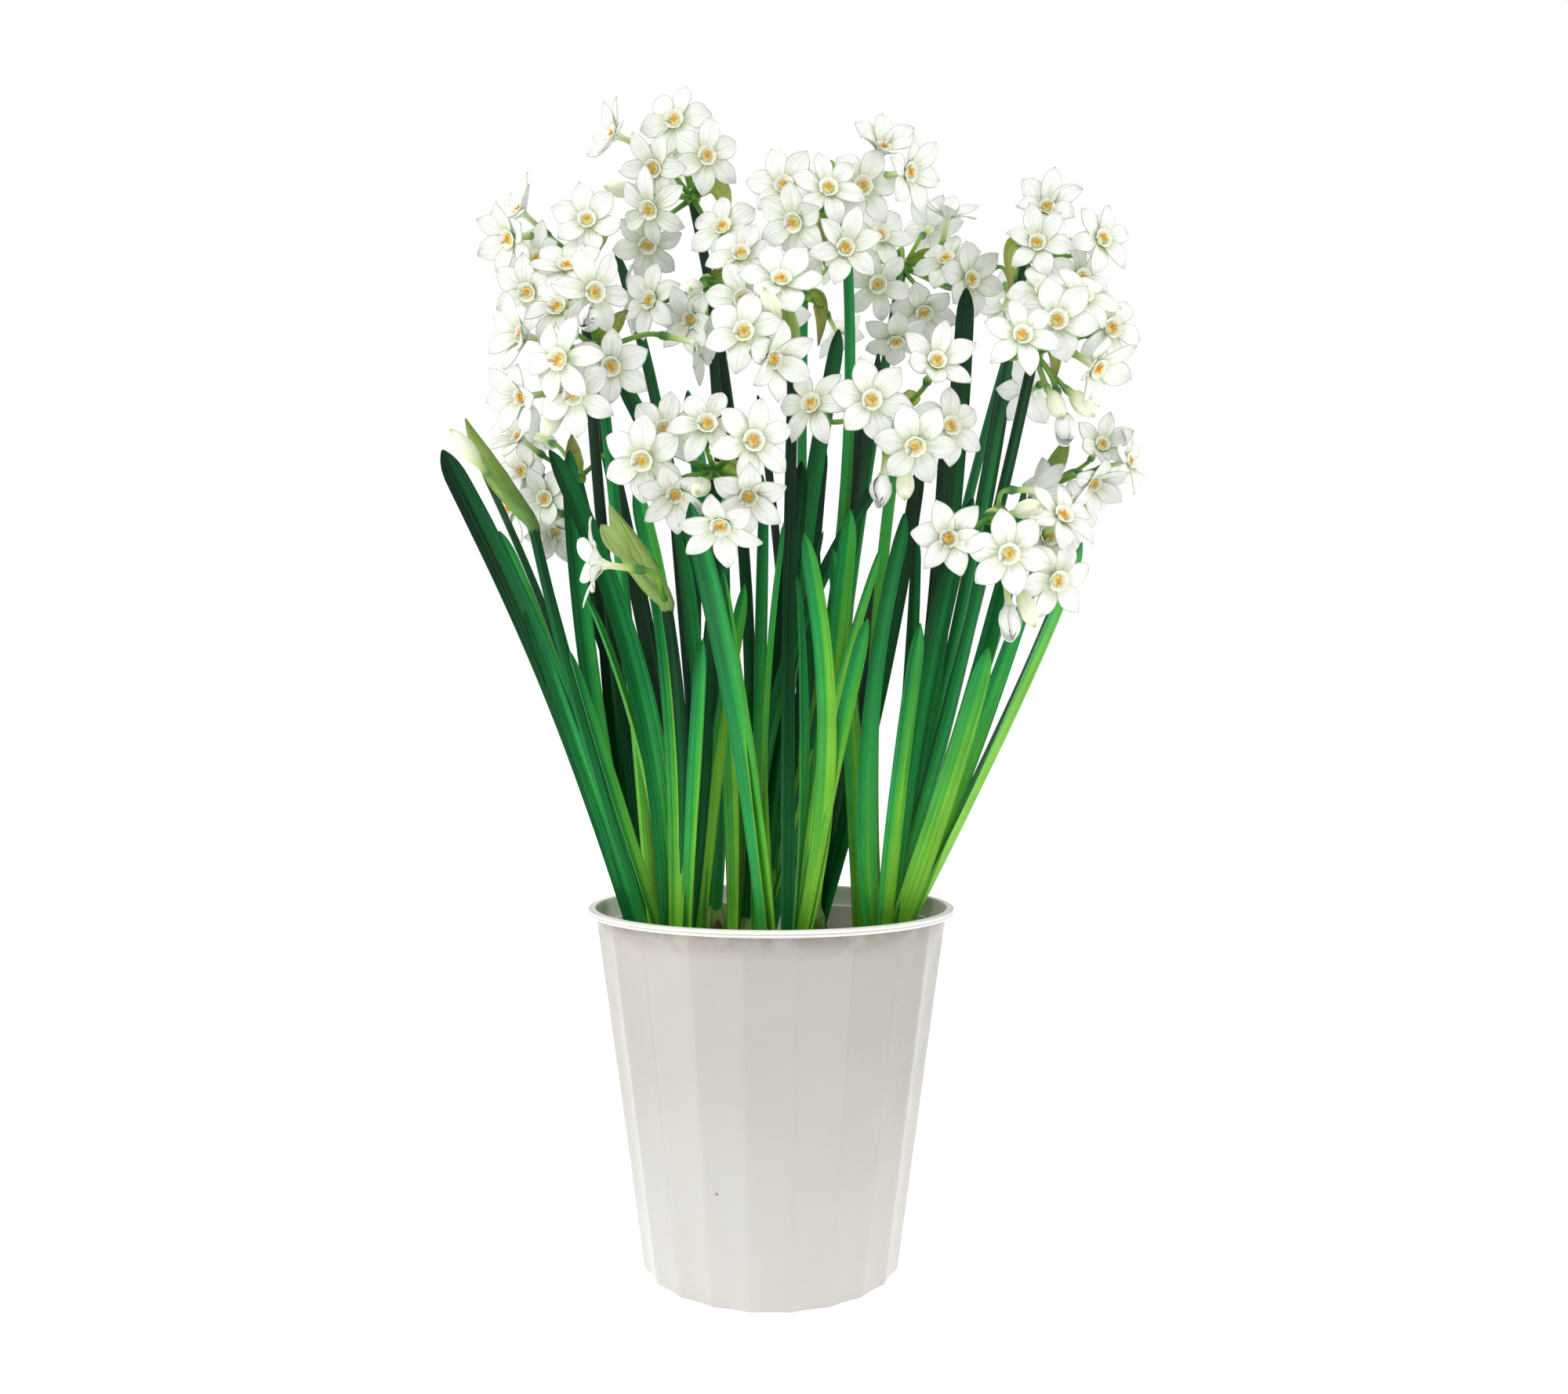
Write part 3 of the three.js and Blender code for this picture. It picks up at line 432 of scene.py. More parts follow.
fine_lines, given, put_out = new_effect(
    "fine_lines", {"Vector": "Vector", "Across": "Float", "Along": "Float", "Seed": "Float"}, "Share"
)
place = split(fine_lines, given[0])
drawn_out = node(fine_lines, "ShaderNodeCombineXYZ", {
    0: sums(fine_lines, "MULTIPLY", place[0], given[1]),
    1: sums(fine_lines, "MULTIPLY", place[1], given[2]),
    2: sums(fine_lines, "MULTIPLY", given[3], 37.0),
})
sockets = {"Vector": drawn_out.outputs[0], "Scale": 1.0, "Detail": 2.0}
line = node(fine_lines, "ShaderNodeTexNoise", sockets)
fine_lines.links.new(span(fine_lines, line.outputs[0], 0.32, 0.68), put_out[0])


def lines(tree, across, along, seed):
    """Fine lengthwise veins on the piece's own UV map."""
    flat = node(tree, "ShaderNodeTexCoord").outputs["UV"]
    inputs = {"Vector": flat, "Across": float(across), "Along": float(along), "Seed": seed}
    return node(tree, "ShaderNodeGroup", inputs, node_tree=fine_lines).outputs[0]


tunic, tree, shader = new_finish("papery_tunic", Roughness=0.6)
here = own_place(tree)
own = own_tone(tree)
veins = lines(tree, 46, 2, own)
tint = ramp(tree, veins, (0.0, 70, 38, 20), (0.5, 126, 78, 44), (1.0, 170, 120, 76))
tint = stain(tree, tint, clouds(tree, here, 60, 0.4, 0.75), (92, 56, 34))
dress(tree, shader, tint, veins, 0.0005)

bulb_places = []
for degrees in BULB_ANGLES:
    angle = math.radians(degrees)
    bulb_places.append((BULB_RING * math.cos(angle), BULB_RING * math.sin(angle)))
bulb_places.append(MIDDLE_BULB)

deselect()
bpy.ops.mesh.primitive_uv_sphere_add(segments=28, ring_count=20, radius=1)
bulb_blank = blank(tunic)
outline = np.array(bulb_outline, float)
measured = np.concatenate([[0], np.cumsum(np.hypot(*np.diff(outline, axis=0).T))])
measured /= measured[-1]

deselect()
bpy.ops.mesh.primitive_grid_add(x_subdivisions=3, y_subdivisions=5, size=2)
flake_blank = blank(tunic)


def thicken(thin, thickness, offset=-1, backed=0):
    """Gives a one-sided sheet a thickness in mm and, if backed, its second finish behind."""
    pick([thin])
    wall = thin.modifiers.new("wall", "SOLIDIFY")
    wall.thickness = thickness * MM
    wall.offset = offset
    wall.material_offset = backed
    bpy.ops.object.modifier_apply(modifier="wall")
    return thin


for number, (x, y) in enumerate(bulb_places):
    draw = drawer(40 + number)
    turn, swell = 6.3 * draw(), mix(0.96, 1.0, draw())
    mesh = bulb_blank.copy()
    for vertex in mesh.vertices:
        share = 1 - math.acos(max(-1, min(1, vertex.co.z))) / math.pi
        radius = np.interp(share, measured, outline[:, 0]) * swell
        angle = math.atan2(vertex.co.y, vertex.co.x) + turn
        rib = 1 + 0.012 * math.sin(11 * angle + 3 * share) + 0.03 * noise.noise(vertex.co * 3)
        up = np.interp(share, measured, outline[:, 1])
        vertex.co = Vector((x + radius * rib * math.cos(angle), y + radius * rib * math.sin(angle), up))
        vertex.co *= MM
    tone_of(mesh, draw())
    parts = [add("bulb_body", mesh)]
    for tip in range(TUNIC_TIPS):
        around = 2 * math.pi * (tip + 0.6 * draw()) / TUNIC_TIPS
        wide, tall = mix(2.2, 4.2, draw()), mix(6, 15, draw())
        curl, lean = mix(-0.5, 2.4, draw()), mix(-0.3, 0.3, draw())
        mesh = flake_blank.copy()
        for vertex in mesh.vertices:
            across, share = vertex.co.x, (vertex.co.y + 1) / 2
            half = wide * (1 - share ** 2.2) + 0.25
            angle = around + (across * half + lean * tall * share) / NECK_RADIUS
            crumple = 0.5 * noise.noise(Vector((across, share * 3, tip)))
            radius = TUNIC_TIP_RING + curl * share ** 2 + crumple
            up = TUNIC_TIP_FOOT + tall * share + 0.5 * across * share
            vertex.co = Vector((x + radius * math.cos(angle), y + radius * math.sin(angle), up)) * MM
        tone_of(mesh, draw())
        parts.append(thicken(add("tunic_tip", mesh), 0.35, 1))
    settle(f"tunic_{number + 1}", parts, [f"bulb_{number + 1}"], 60)

# ---- The leaves ----
# Each bulb sends up a fan of strap leaves from a pale sheath. A leaf is thick and soft, channelled
# along its upper side, blunt at the tip, yellow-green low down and deep green at the top.

EYE_BACK = 550
EYE_UP = 230.5
LEAF_ROOT_RING = 7
SHEATH_FOOT = 140.3
SHEATH_HEIGHT = 14
FACING_SPREAD = 58
LEAF_STATIONS = 26
UP = np.array((0.0, 0.0, 1.0))
FRONT = np.array((0.0, -1.0, 0.0))

# Leaves by shoot: [mid across, mid up, tip across, tip up, tip depth, width, facing, twist].
# Across and up are read on the upright plane through the pot's axis, along the lines of sight of an
# eye EYE_BACK in front of it and EYE_UP high. Facing is the way the upper side looks, in plan.
LEAVES = [
    [
        [-105, 275, -150, 367, -22, 12, -105, 10], [-101, 286, -132, 358, 15, 9, -70, 20],
        [-85, 286, -92, 367, -6, 9, -60, 30], [-86, 248, -106, 322, 34, 8, -50, 25],
        [-72, 250, -78, 330, 22, 8, -100, 20], [-90, 236, -112, 296, -14, 7, -80, 20],
        [-58, 230, -66, 300, 2, 7, -80, 20], [-97, 262, -124, 330, 0, 8, -60, 25],
    ],
    [
        [-66, 279, -101, 367, -64, 11, -100, 15], [-34, 225, -31, 281, -70, 7, -80, 20],
        [-62, 236, -84, 300, -50, 7.5, -70, 20], [-46, 268, -62, 350, -40, 9, -110, 30],
        [-28, 262, -20, 338, -46, 8.5, -75, 20], [-76, 224, -92, 276, -62, 7, -95, 20],
        [-45, 240, -54, 318, -58, 7, -60, 30], [-24, 236, -12, 306, -52, 7, -100, 20],
    ],
    [
        [-19, 268, -37, 343, -92, 13, -85, 10], [-2, 262, 6, 334, -74, 7.5, -60, 30],
        [25, 262, 15, 329, -90, 7.5, -100, 10], [28, 262, 36, 340, -66, 8.5, -70, 25],
        [14, 240, 12, 310, -78, 7, -100, 30], [30, 226, 44, 290, -86, 7, -85, 20],
        [26, 240, 50, 322, -74, 8, -70, 20], [-12, 240, -22, 312, -84, 7.5, -60, 30],
    ],
    [
        [46, 262, 61, 338, -70, 11, -100, 15], [60, 232, 68, 288, -72, 7, -80, 10],
        [83, 222, 99, 277, -62, 9, -70, 20], [112, 255, 142, 325, -30, 12, -75, -15],
        [76, 270, 92, 345, -40, 10, -110, 20], [98, 250, 122, 318, -38, 9, -95, 20],
        [36, 242, 28, 322, -46, 8, -110, 20], [70, 262, 86, 332, -54, 8, -60, 20],
    ],
    [
        [80, 322, 89, 441, 14, 10, -90, 8], [92, 318, 108, 408, 40, 9, -60, 20],
        [92, 262, 116, 352, 48, 9, -110, 20], [72, 262, 80, 372, 46, 9, -80, 25],
        [104, 240, 132, 306, 30, 8, -70, 20], [62, 250, 66, 330, 22, 8, -95, 20],
        [88, 240, 110, 322, 8, 8.5, -75, 20],
    ],
    [
        [32, 280, 44, 400, 84, 9.5, -80, 30], [6, 280, -6, 392, 92, 9.5, -100, 20],
        [50, 262, 68, 360, 96, 9, -60, 20], [20, 250, 18, 345, 110, 9, -90, 20],
        [36, 236, 48, 310, 112, 8.5, -110, 20], [16, 262, 24, 370, 66, 9.5, -80, 20],
        [28, 240, 32, 330, 84, 8, -80, 20],
    ],
    [
        [-44, 340, -71, 458, 30, 10.5, -95, 10], [-56, 282, -78, 384, 84, 9.5, -70, 20],
        [-70, 262, -100, 346, 78, 9, -100, 20], [-38, 262, -46, 352, 102, 9, -80, 20],
        [-24, 282, -22, 380, 72, 9.5, -90, 20], [-50, 236, -70, 300, 92, 8.5, -100, 20],
        [-34, 240, -34, 330, 62, 8, -100, 20],
    ],
    [
        [-42, 345, -71, 404, -8, 9.5, -80, 10], [16, 335, 31, 422, 14, 9, -100, 15],
        [36, 322, 49, 411, -10, 9, -70, 15], [20, 300, 54, 358, -18, 9, -95, 15],
        [-6, 270, -4, 356, -26, 10, -90, 8], [-24, 300, -38, 394, -20, 9.5, -110, 15],
        [4, 262, 14, 362, -6, 9, -80, 15], [8, 250, 24, 330, -12, 7.5, -70, 20],
        [-18, 246, -30, 318, -16, 7.5, -100, 20],
    ],
]


def dot(a, b):
    return a[..., 0] * b[..., 0] + a[..., 1] * b[..., 1] + a[..., 2] * b[..., 2]


def unit(a):
    return a / math.sqrt(dot(a, a))


def cross(a, b):
    return np.array((a[1] * b[2] - a[2] * b[1], a[2] * b[0] - a[0] * b[2], a[0] * b[1] - a[1] * b[0]))


def on_sight(spot, depth):
    """A point read on the axis plane, moved along its line of sight to its own depth."""
    k = (EYE_BACK + depth) / EYE_BACK
    return np.array((spot[0] * k, depth, EYE_UP + (spot[1] - EYE_UP) * k))


def bend(start, mid, end):
    """Control points of the bent line from start to end that passes through mid."""
    first, second = math.dist(start, mid), math.dist(mid, end)
    t = first / (first + second)
    control = (mid - (1 - t) ** 2 * start - t ** 2 * end) / (2 * t * (1 - t))
    return start, control, end


def on_line(line, t):
    return (1 - t) ** 2 * line[0] + 2 * (1 - t) * t * line[1] + t ** 2 * line[2]


def along_line(line, t):
    return unit((1 - t) * (line[1] - line[0]) + t * (line[2] - line[1]))


def leaf_line(root, row):
    mid, tip = row[0:2], on_sight(row[2:4], row[4])
    flat_mid = on_sight(mid, mix(root[1], row[4], 0.5))
    heading = unit(np.array((flat_mid[0] - root[0], flat_mid[1] - root[1], 0.0)))
    start = np.array((root[0], root[1], BULB_NOSE + 2.0)) + heading * LEAF_ROOT_RING
    share = (flat_mid[2] - start[2]) / (tip[2] - start[2])
    return bend(start, on_sight(mid, mix(start[1], row[4], share)), tip)


def cut_cylinder(sides, lengths, ends):
    """An upright cylinder of radius and height 1, cut across into that many equal lengths."""
    deselect()
    bpy.ops.mesh.primitive_cylinder_add(
        vertices=sides, radius=1, depth=1, end_fill_type=ends, location=(0, 0, 0.5)
    )
    bpy.ops.object.transform_apply(location=True)
    open_mesh("EDGE")
    for edge in bmesh.from_edit_mesh(bpy.context.object.data).edges:
        edge.select_set(abs(edge.verts[0].co.z - edge.verts[1].co.z) > 0.5)
    bpy.ops.mesh.subdivide(number_cuts=lengths - 1)
    bpy.ops.object.mode_set(mode="OBJECT")
    return bpy.context.object


def rod_blank(sides, lengths):
    """A straight rod with a UV map that runs round it and along it. Leaves, stems and stalks are
    copies of such rods."""
    cut_cylinder(sides, lengths, "TRIFAN")
    mesh = blank()
    for face in mesh.polygons:
        middle = math.atan2(face.center.y, face.center.x) / (2 * math.pi)
        for loop in face.loop_indices:
            at = mesh.vertices[mesh.loops[loop].vertex_index].co
            u = math.atan2(at.y, at.x) / (2 * math.pi) if at.x or at.y else middle
            mesh.uv_layers[0].data[loop].uv = (u - round(u - middle), at.z)
    return mesh


def cast(rod, name, finish, tone, ring):
    """A copy of a rod, laid out by ring(t), which gives for each length t along it a rule from the
    spot (c, s) on the rod's round section to the finished point in mm."""
    mesh = rod.copy()
    rings = {}
    for vertex in mesh.vertices:
        c, s, t = vertex.co
        t = round(t, 4)
        if t not in rings:
            rings[t] = ring(t)
        vertex.co = Vector(rings[t](c, s)) * MM
    mesh.materials.clear()
    mesh.materials.append(finish)
    tone_of(mesh, tone)
    return add(name, mesh)


leaf_green, tree, shader = new_finish("leaf_green", Specular_IOR_Level=0.2)
here = own_place(tree)
height = split(tree, here)["Z"]
place = on_map(tree)
own = own_tone(tree)
# How deep the green is: darker higher up, towards the tip and with the piece's tone, which holds
# painted shade on the leaves further back. Across each leaf one side is painted lighter and the other
# darker, as painted light and shade.
green_depth_and_shade = span(tree, height, 0.15, 0.4, 0.1, 0.56)
for value, low, high, least, most in (
    (place["Y"], 0.0, 1.0, 0.0, 0.28), (own, 0.0, 1.0, -0.3, 0.62), (place["X"], 0.2, 0.3, -0.11, 0.15),
    (lines(tree, 13, 0.5, own), 0.0, 1.0, -0.1, 0.12),
):
    green_depth_and_shade = sums(tree, "ADD", green_depth_and_shade, span(tree, value, low, high, least, most))
tint = ramp(
    tree, green_depth_and_shade, (0.0, 126, 190, 62), (0.16, 72, 166, 62), (0.36, 34, 146, 78), (0.6, 6, 104, 54),
    (0.82, 0, 72, 37), (1.0, 0, 40, 21),
)
veins = lines(tree, 44, 1.2, own)
tint = stain(tree, tint, veins, (168, 214, 110), 0.4, "SOFT_LIGHT")
tint = stain(tree, tint, clouds(tree, here, 55), (10, 70, 30), 0.18)
rib = sums(tree, "ABSOLUTE", sums(tree, "SUBTRACT", place["X"], 0.25))
rib = span(tree, rib, 0.0, 0.045, 1.0, 0.0)
tint = stain(tree, tint, rib, (150, 206, 84), 0.35, "SOFT_LIGHT")
withered = sums(tree, "MULTIPLY", span(tree, place["Y"], 0.985, 1.0), span(tree, own, 0.35, 0.5))
tint = stain(tree, tint, withered, (150, 140, 70))
tree.links.new(span(tree, veins, 0.0, 1.0, 0.3, 0.4), shader.inputs["Roughness"])
dress(tree, shader, tint, veins, 0.0005, 0.8)

pale_sheath, tree, shader = new_finish("pale_sheath", Roughness=0.5)
own = own_tone(tree)
veins = lines(tree, 40, 1, own)
tint = ramp(tree, veins, (0.0, 84, 122, 44), (1.0, 124, 158, 66))
dress(tree, shader, tint, veins, 0.0003)

leaf_blank = rod_blank(12, LEAF_STATIONS)
neck_blank = rod_blank(20, 6)


def leaf_width(t, length):
    """Share of the full width: narrow at the sheath, full past the middle, rounded at the tip."""
    grown = np.interp(t, (0, 0.15, 0.3, 0.5, 0.66, 0.85, 1), (0.84, 0.97, 1.06, 1.04, 1, 0.94, 0.8))
    left = min(1, (1 - t) * length / 15)
    return grown * max(0.1, (1 - (1 - left) ** 2.2) ** 0.7)


def leaf(root, row, turn, number):
    line = leaf_line(root, row)
    length = sum(math.dist(on_line(line, i / 20), on_line(line, (i + 1) / 20)) for i in range(20))
    faced = row[6] + FACING_SPREAD * math.sin(2.4 * turn)
    draw = drawer(500 + number)
    deep, sway = mix(1.3, 2.2, draw()), 6.3 * draw()

    def ring(t):
        t = 1 - (1 - t) ** 1.6
        angle = math.radians(faced + row[7] * t)
        along = along_line(line, t)
        across = unit(cross(along, np.array((math.cos(angle), math.sin(angle), 0.0))))
        up = cross(across, along)
        centre = on_line(line, t)
        half = row[5] / 2 * leaf_width(t, length)
        scoop = deep * min(1, half / 4) * mix(1.15, 0.75, t)

        def spot(c, s):
            side = abs(c) ** 1.7
            waver = 0.25 * math.sin(9 * t + sway) * c
            lift = 0.1 + scoop * side if s > 0 else -0.85 + (scoop + 0.5) * side
            lift = lift if abs(s) > 0.01 else scoop - 0.15
            return centre + across * (half * c) + up * (lift * min(1, half / 1.5) + waver)

        return spot

    # Painted shade: leaves whose tips stand further back get a darker tone, as if shaded by the leaves
    # in front; the rest is a random tone.
    shaded = 0.26 + 0.6 * (row[4] + 40) / 160 + 0.7 * (draw() - 0.5)
    return cast(leaf_blank, "leaf", leaf_green, max(0, min(1, shaded)), ring)


def neck(root, number):
    def ring(t):
        radius = np.interp(t, (0, 0.5, 1), (NECK_RADIUS, NECK_RADIUS * 0.97, NECK_RADIUS * 0.7))

        def spot(c, s):
            angle = math.atan2(s, c)
            swell = radius * math.hypot(c, s) * (1 + 0.03 * math.cos(6 * angle + number))
            up = SHEATH_FOOT + SHEATH_HEIGHT * t
            return root[0] + swell * math.cos(angle), root[1] + swell * math.sin(angle), up

        return spot

    return cast(neck_blank, "neck", pale_sheath, 0.1 * number, ring)


leaf_count = 0
for number, (root, rows) in enumerate(zip(bulb_places, LEAVES)):
    parts = []
    for place, row in enumerate(rows):
        parts.append(leaf(root, row, place + number, leaf_count))
        leaf_count += 1
    parts.append(neck(root, number))
    settle(f"leaves_{number + 1}", parts, [f"shoot_{number + 1}"], 65)

# ---- The flower stems ----
# Bare round stems that rise between the leaves and carry one umbel each. They grow out of the
# same neck as the leaves and thin towards the top.

STEM_RADIUS = 3.2
STEM_TIP_RADIUS = 2.3

# Umbels: shoot that carries it, hub (across, up, depth), spot halfway up its stem, show florets
# (across, up, facing across, facing up), buds, number of florets round the back, and spathe
# (across, depth, up, width) from the hub. Facing 0, 0 looks straight to the front.
UMBELS = [
    (7, (-36, 482, 24), (-20, 392), [
        (-43, 516, -0.1, 0.1), (-55, 495, -0.1, -0.3), (-30, 501, 0.1, -0.1), (-72, 509, -0.8, 0.2),
        (-57, 477, -0.2, -0.7), (-55, 462, 0, -0.8), (-20, 467, -0.2, 0.35),
    ], [(-68, 486)], 1, (16, -10, -20, 10)),
    (0, (-86, 453, 14), (-77, 330), [
        (-84, 472, 0, 0), (-107, 455, -0.5, -0.1), (-91, 452, -0.1, 0.4), (-112, 475, -0.8, 0.35),
        (-120, 463, -0.6, -0.3), (-109, 441, -0.3, -0.5),
    ], [], 1, (14, -6, 14, 9)),
    (0, (-79, 413, -44), (-66, 290), [
        (-96, 432, -0.1, 0.2), (-98, 408, -0.25, 0), (-90, 393, 0, -0.5), (-73, 405, 0.1, -0.6),
        (-112, 418, -0.8, 0.1), (-111, 393, -0.6, -0.4), (-80, 438, 0.5, -0.3),
    ], [(-100, 380), (-82, 423)], 1, (14, -12, 12, 9)),
    (6, (-88, 354, 56), (-66, 270), [
        (-113, 372, -0.5, 0.3), (-103, 344, -0.1, -0.2), (-114, 356, -0.4, 0), (-100, 329, 0.1, -0.6),
        (-119, 340, -0.7, -0.3),
    ], [], 2, (-2, -8, 20, 9)),
    (6, (-29, 443, 4), (-22, 335), [
        (-54, 436, -0.5, 0), (-38, 425, -0.2, -0.35), (-14, 455, -0.1, 0.3),
    ], [(-35, 441)], 2, (18, -8, -6, 8)),
    (2, (10, 404, -48), (8, 290), [
        (-12, 436, 0, 0), (-11, 422, 0, -0.15), (3, 445, 0.1, 0.5), (2, 410, 0.5, -0.5),
    ], [(0, 432)], 1, (-5, -2, 34, 11)),
    (7, (34, 468, -4), (34, 350), [
        (6, 485, -0.1, 0), (24, 487, 0, 0.1), (41, 486, 0.2, -0.1), (49, 503, 0.1, 0.55),
        (61, 492, 0.75, -0.1), (35, 457, 0, 0), (9, 470, -0.2, -0.6),
    ], [], 1, (-10, -8, -20, 8)),
    (5, (60, 450, 58), (40, 330), [
        (50, 444, -0.1, -0.5), (81, 452, -0.2, 0.3), (68, 432, 0.1, -0.6), (55, 417, 0, -0.85),
        (90, 446, 0.5, -0.3), (82, 472, 0, 0.7), (48, 464, 0, 0.3),
    ], [], 2, (26, -8, -12, 9)),
    (4, (116, 456, 22), (94, 330), [
        (126, 476, 0, 0.2), (121, 461, 0, 0), (150, 464, 0.4, 0), (123, 439, 0, 0.4),
        (143, 447, 0.4, -0.1),
    ], [], 2, (-8, -8, -22, 8)),
    (3, (120, 411, -32), (94, 300), [
        (114, 420, -0.1, 0), (132, 426, 0.1, -0.1), (153, 421, 0.3, 0), (143, 436, 0.3, 0.4),
        (147, 404, 0.5, -0.5),
    ], [(130, 388), (134, 377), (142, 388)], 1, (6, -10, -16, 8)),
    (1, (-26, 357, -60), (-28, 255), [
        (-50, 377, 0, 0), (-28, 379, 0, 0.1), (-7, 371, 0.1, -0.1), (-57, 361, -0.2, -0.3),
        (-44, 347, -0.1, -0.55), (-12, 347, 0.15, -0.5), (-24, 335, 0, -0.75),
    ], [(-32, 350)], 0, (10, 8, -12, 9)),
    (3, (60, 386, -40), (48, 280), [
        (47, 389, 0, 0), (76, 406, 0.1, 0.1), (18, 387, -0.5, 0), (64, 369, 0, -0.45),
        (80, 379, 0.25, -0.1),
    ], [(61, 352), (51, 349)], 0, (8, 14, 10, 8)),
    (4, (120, 346, 72), (92, 250), [
        (151, 370, 0.2, 0.2), (147, 354, 0.4, -0.4), (161, 362, 0.7, 0), (142, 343, 0, -0.6),
    ], [], 1, (17, -4, 30, 11)),
    (3, (101, 336, -57), (82, 250), [
        (80, 325, 0, 0), (107, 318, -0.1, -0.2), (126, 326, 0.4, 0.2), (131, 338, 0.3, 0.4),
        (129, 309, 0.4, -0.4),
    ], [(117, 340), (109, 289), (117, 295)], 1, (4, 8, -12, 9)),
    (0, (-109, 334, -24), (-88, 250), [], [(-139, 368)], 0, (-28, -4, 44, 10)),
    (1, (-48, 298, -66), (-40, 225), [
        (-79, 315, -0.95, 0),
    ], [(-71, 325)], 0, (-22, -4, 38, 12)),
    (5, (15, 437, 100), (14, 320), [], [], 5, (8, 8, -24, 9)),
    (4, (112, 424, 100), (84, 320), [], [], 5, (8, 8, -24, 9)),
]

hubs = [on_sight(umbel[1], umbel[1][2]) for umbel in UMBELS]


def stem_line(number):
    shoot, _, half = UMBELS[number][:3]
    root, hub = bulb_places[shoot], hubs[number]
    start = np.array((root[0], root[1], BULB_NOSE + 2.0))
    mid = on_sight(half, mix(root[1], hub[1], (half[1] - start[2]) / (hub[2] - start[2])))
    heading = unit(np.array((hub[0] - root[0], hub[1] - root[1], 0.0)))
    return bend(start + heading * LEAF_ROOT_RING * 0.4, mid, hub)


def round_rule(centre, along, side, radius):
    """Rule for a round section of that radius across a direction."""
    u = unit(side - along * dot(side, along))
    v = cross(along, u)
    return lambda c, s: centre + (u * c + v * s) * radius


stem_blank = rod_blank(12, 20)


def stem(number):
    line = stem_line(number)

    def ring(t):
        side = FRONT * math.cos(t) + np.array((1.0, 0.0, 0.0)) * math.sin(t)
        radius = mix(STEM_RADIUS, STEM_TIP_RADIUS, t)
        return round_rule(on_line(line, t), along_line(line, t), side, radius)

    return cast(stem_blank, "stem", leaf_green, drawer(900 + number)(), ring)


for number in range(len(LEAVES)):
    stems = [stem(u) for u, umbel in enumerate(UMBELS) if umbel[0] == number]
    if stems:
        settle(f"stems_{number + 1}", stems, [f"shoot_{number + 1}"], 60)

# ---- Room for the florets ----
# A floret opens where it finds room. All that takes up room is a rod, a line with a radius, and a
# draw of reach, facing and roll is kept when its rods clear all the rods around it.

FLORET_RADIUS = 16.2
CUP_RADIUS = 4.2
TUBE_LENGTH = 17
BUD_LENGTH = 20
STALK_START = 9
FAR_STALK = 26
SHOW_PLAY = 0.3
BACK_PLAY = 0.68
SHOW_DRAWS = 160
BACK_DRAWS = 60
KINDS = ("tepal", "stalk", "bud", "leaf", "stem")
ROOM = np.array((4.4, 2.2, 5.0, 5.4, 3.2))
ROOM_IN_UMBEL = np.array((2.6, 1.9, 4.0, 0.0, 3.2))


def rods(ends, kind, umbel, centre=None):
    """Rods as rows of arrays: start, end, kind, umbel and the centre of what they belong to."""
    starts, stops = np.array([e[0] for e in ends]), np.array([e[1] for e in ends])
    kinds = np.array([KINDS.index(k) for k in kind])
    middle = np.full(3, np.nan) if centre is None else centre
    return starts, stops, kinds, np.full(len(ends), umbel), np.tile(middle, (len(ends), 1))


def line_rods(line, kind, umbel):
    spots = [on_line(line, i / 10) for i in range(11)]
    return rods(list(zip(spots, spots[1:])), [kind] * 10, umbel)


def rod_gaps(a_start, a_stop, b_start, b_stop):
    """Least distance of each rod a from each rod b."""
    d1, d2 = (a_stop - a_start)[:, None], (b_stop - b_start)[None]
    r = a_start[:, None] - b_start[None]
    aa, ee, f, c, bb = dot(d1, d1), dot(d2, d2), dot(d2, r), dot(d1, r), dot(d1, d2)
    denom = aa * ee - bb * bb
    safe = np.where(denom > 1e-9, denom, 1)
    s = np.where(denom > 1e-9, np.clip((bb * f - c * ee) / safe, 0, 1), 0)
    t = (bb * s + f) / ee
    s = np.where(t < 0, np.clip(-c / aa, 0, 1), np.where(t > 1, np.clip((bb - c) / aa, 0, 1), s))
    t = np.clip(t, 0, 1)
    apart = r + d1 * s[..., None] - d2 * t[..., None]
    return np.sqrt(dot(apart, apart))


def slack(new, taken, umbel):
    """How far the new rods stay clear of all that is near, less the radii."""
    away = taken[4] - new[4][0]
    near = ~(np.sqrt(dot(away, away)) > 2 * FLORET_RADIUS + FAR_STALK)
    start, stop, kinds, owner, _ = (column[near] for column in taken)
    gaps = rod_gaps(new[0], new[1], start, stop)
    own = (owner == umbel)[None]
    a, b = new[2][:, None], kinds[None]
    room = np.where(own, ROOM_IN_UMBEL[a] + ROOM_IN_UMBEL[b], ROOM[a] + ROOM[b])
    both_stalks = own & (a == 1) & (b == 1)
    return np.where(both_stalks, np.inf, gaps - room).min()


def floret_ways(axis):
    side = unit(cross(UP if abs(axis[2]) < 0.95 else FRONT, axis))
    return side, cross(axis, side)


def floret_rods(umbel, centre, axis, roll):
    side, rise = floret_ways(axis)
    ends = []
    for k in range(6):
        angle = k * math.pi / 3 + roll
        out = side * math.cos(angle) + rise * math.sin(angle)
        ends.append((centre + out * CUP_RADIUS, centre + out * (FLORET_RADIUS - 2)))
    ovary = centre - axis * TUBE_LENGTH
    leave = hubs[umbel] + unit(ovary - hubs[umbel]) * STALK_START
    ends += [(centre, ovary), (ovary, leave)]
    return rods(ends, ["tepal"] * 6 + ["stalk"] * 2, umbel, centre)


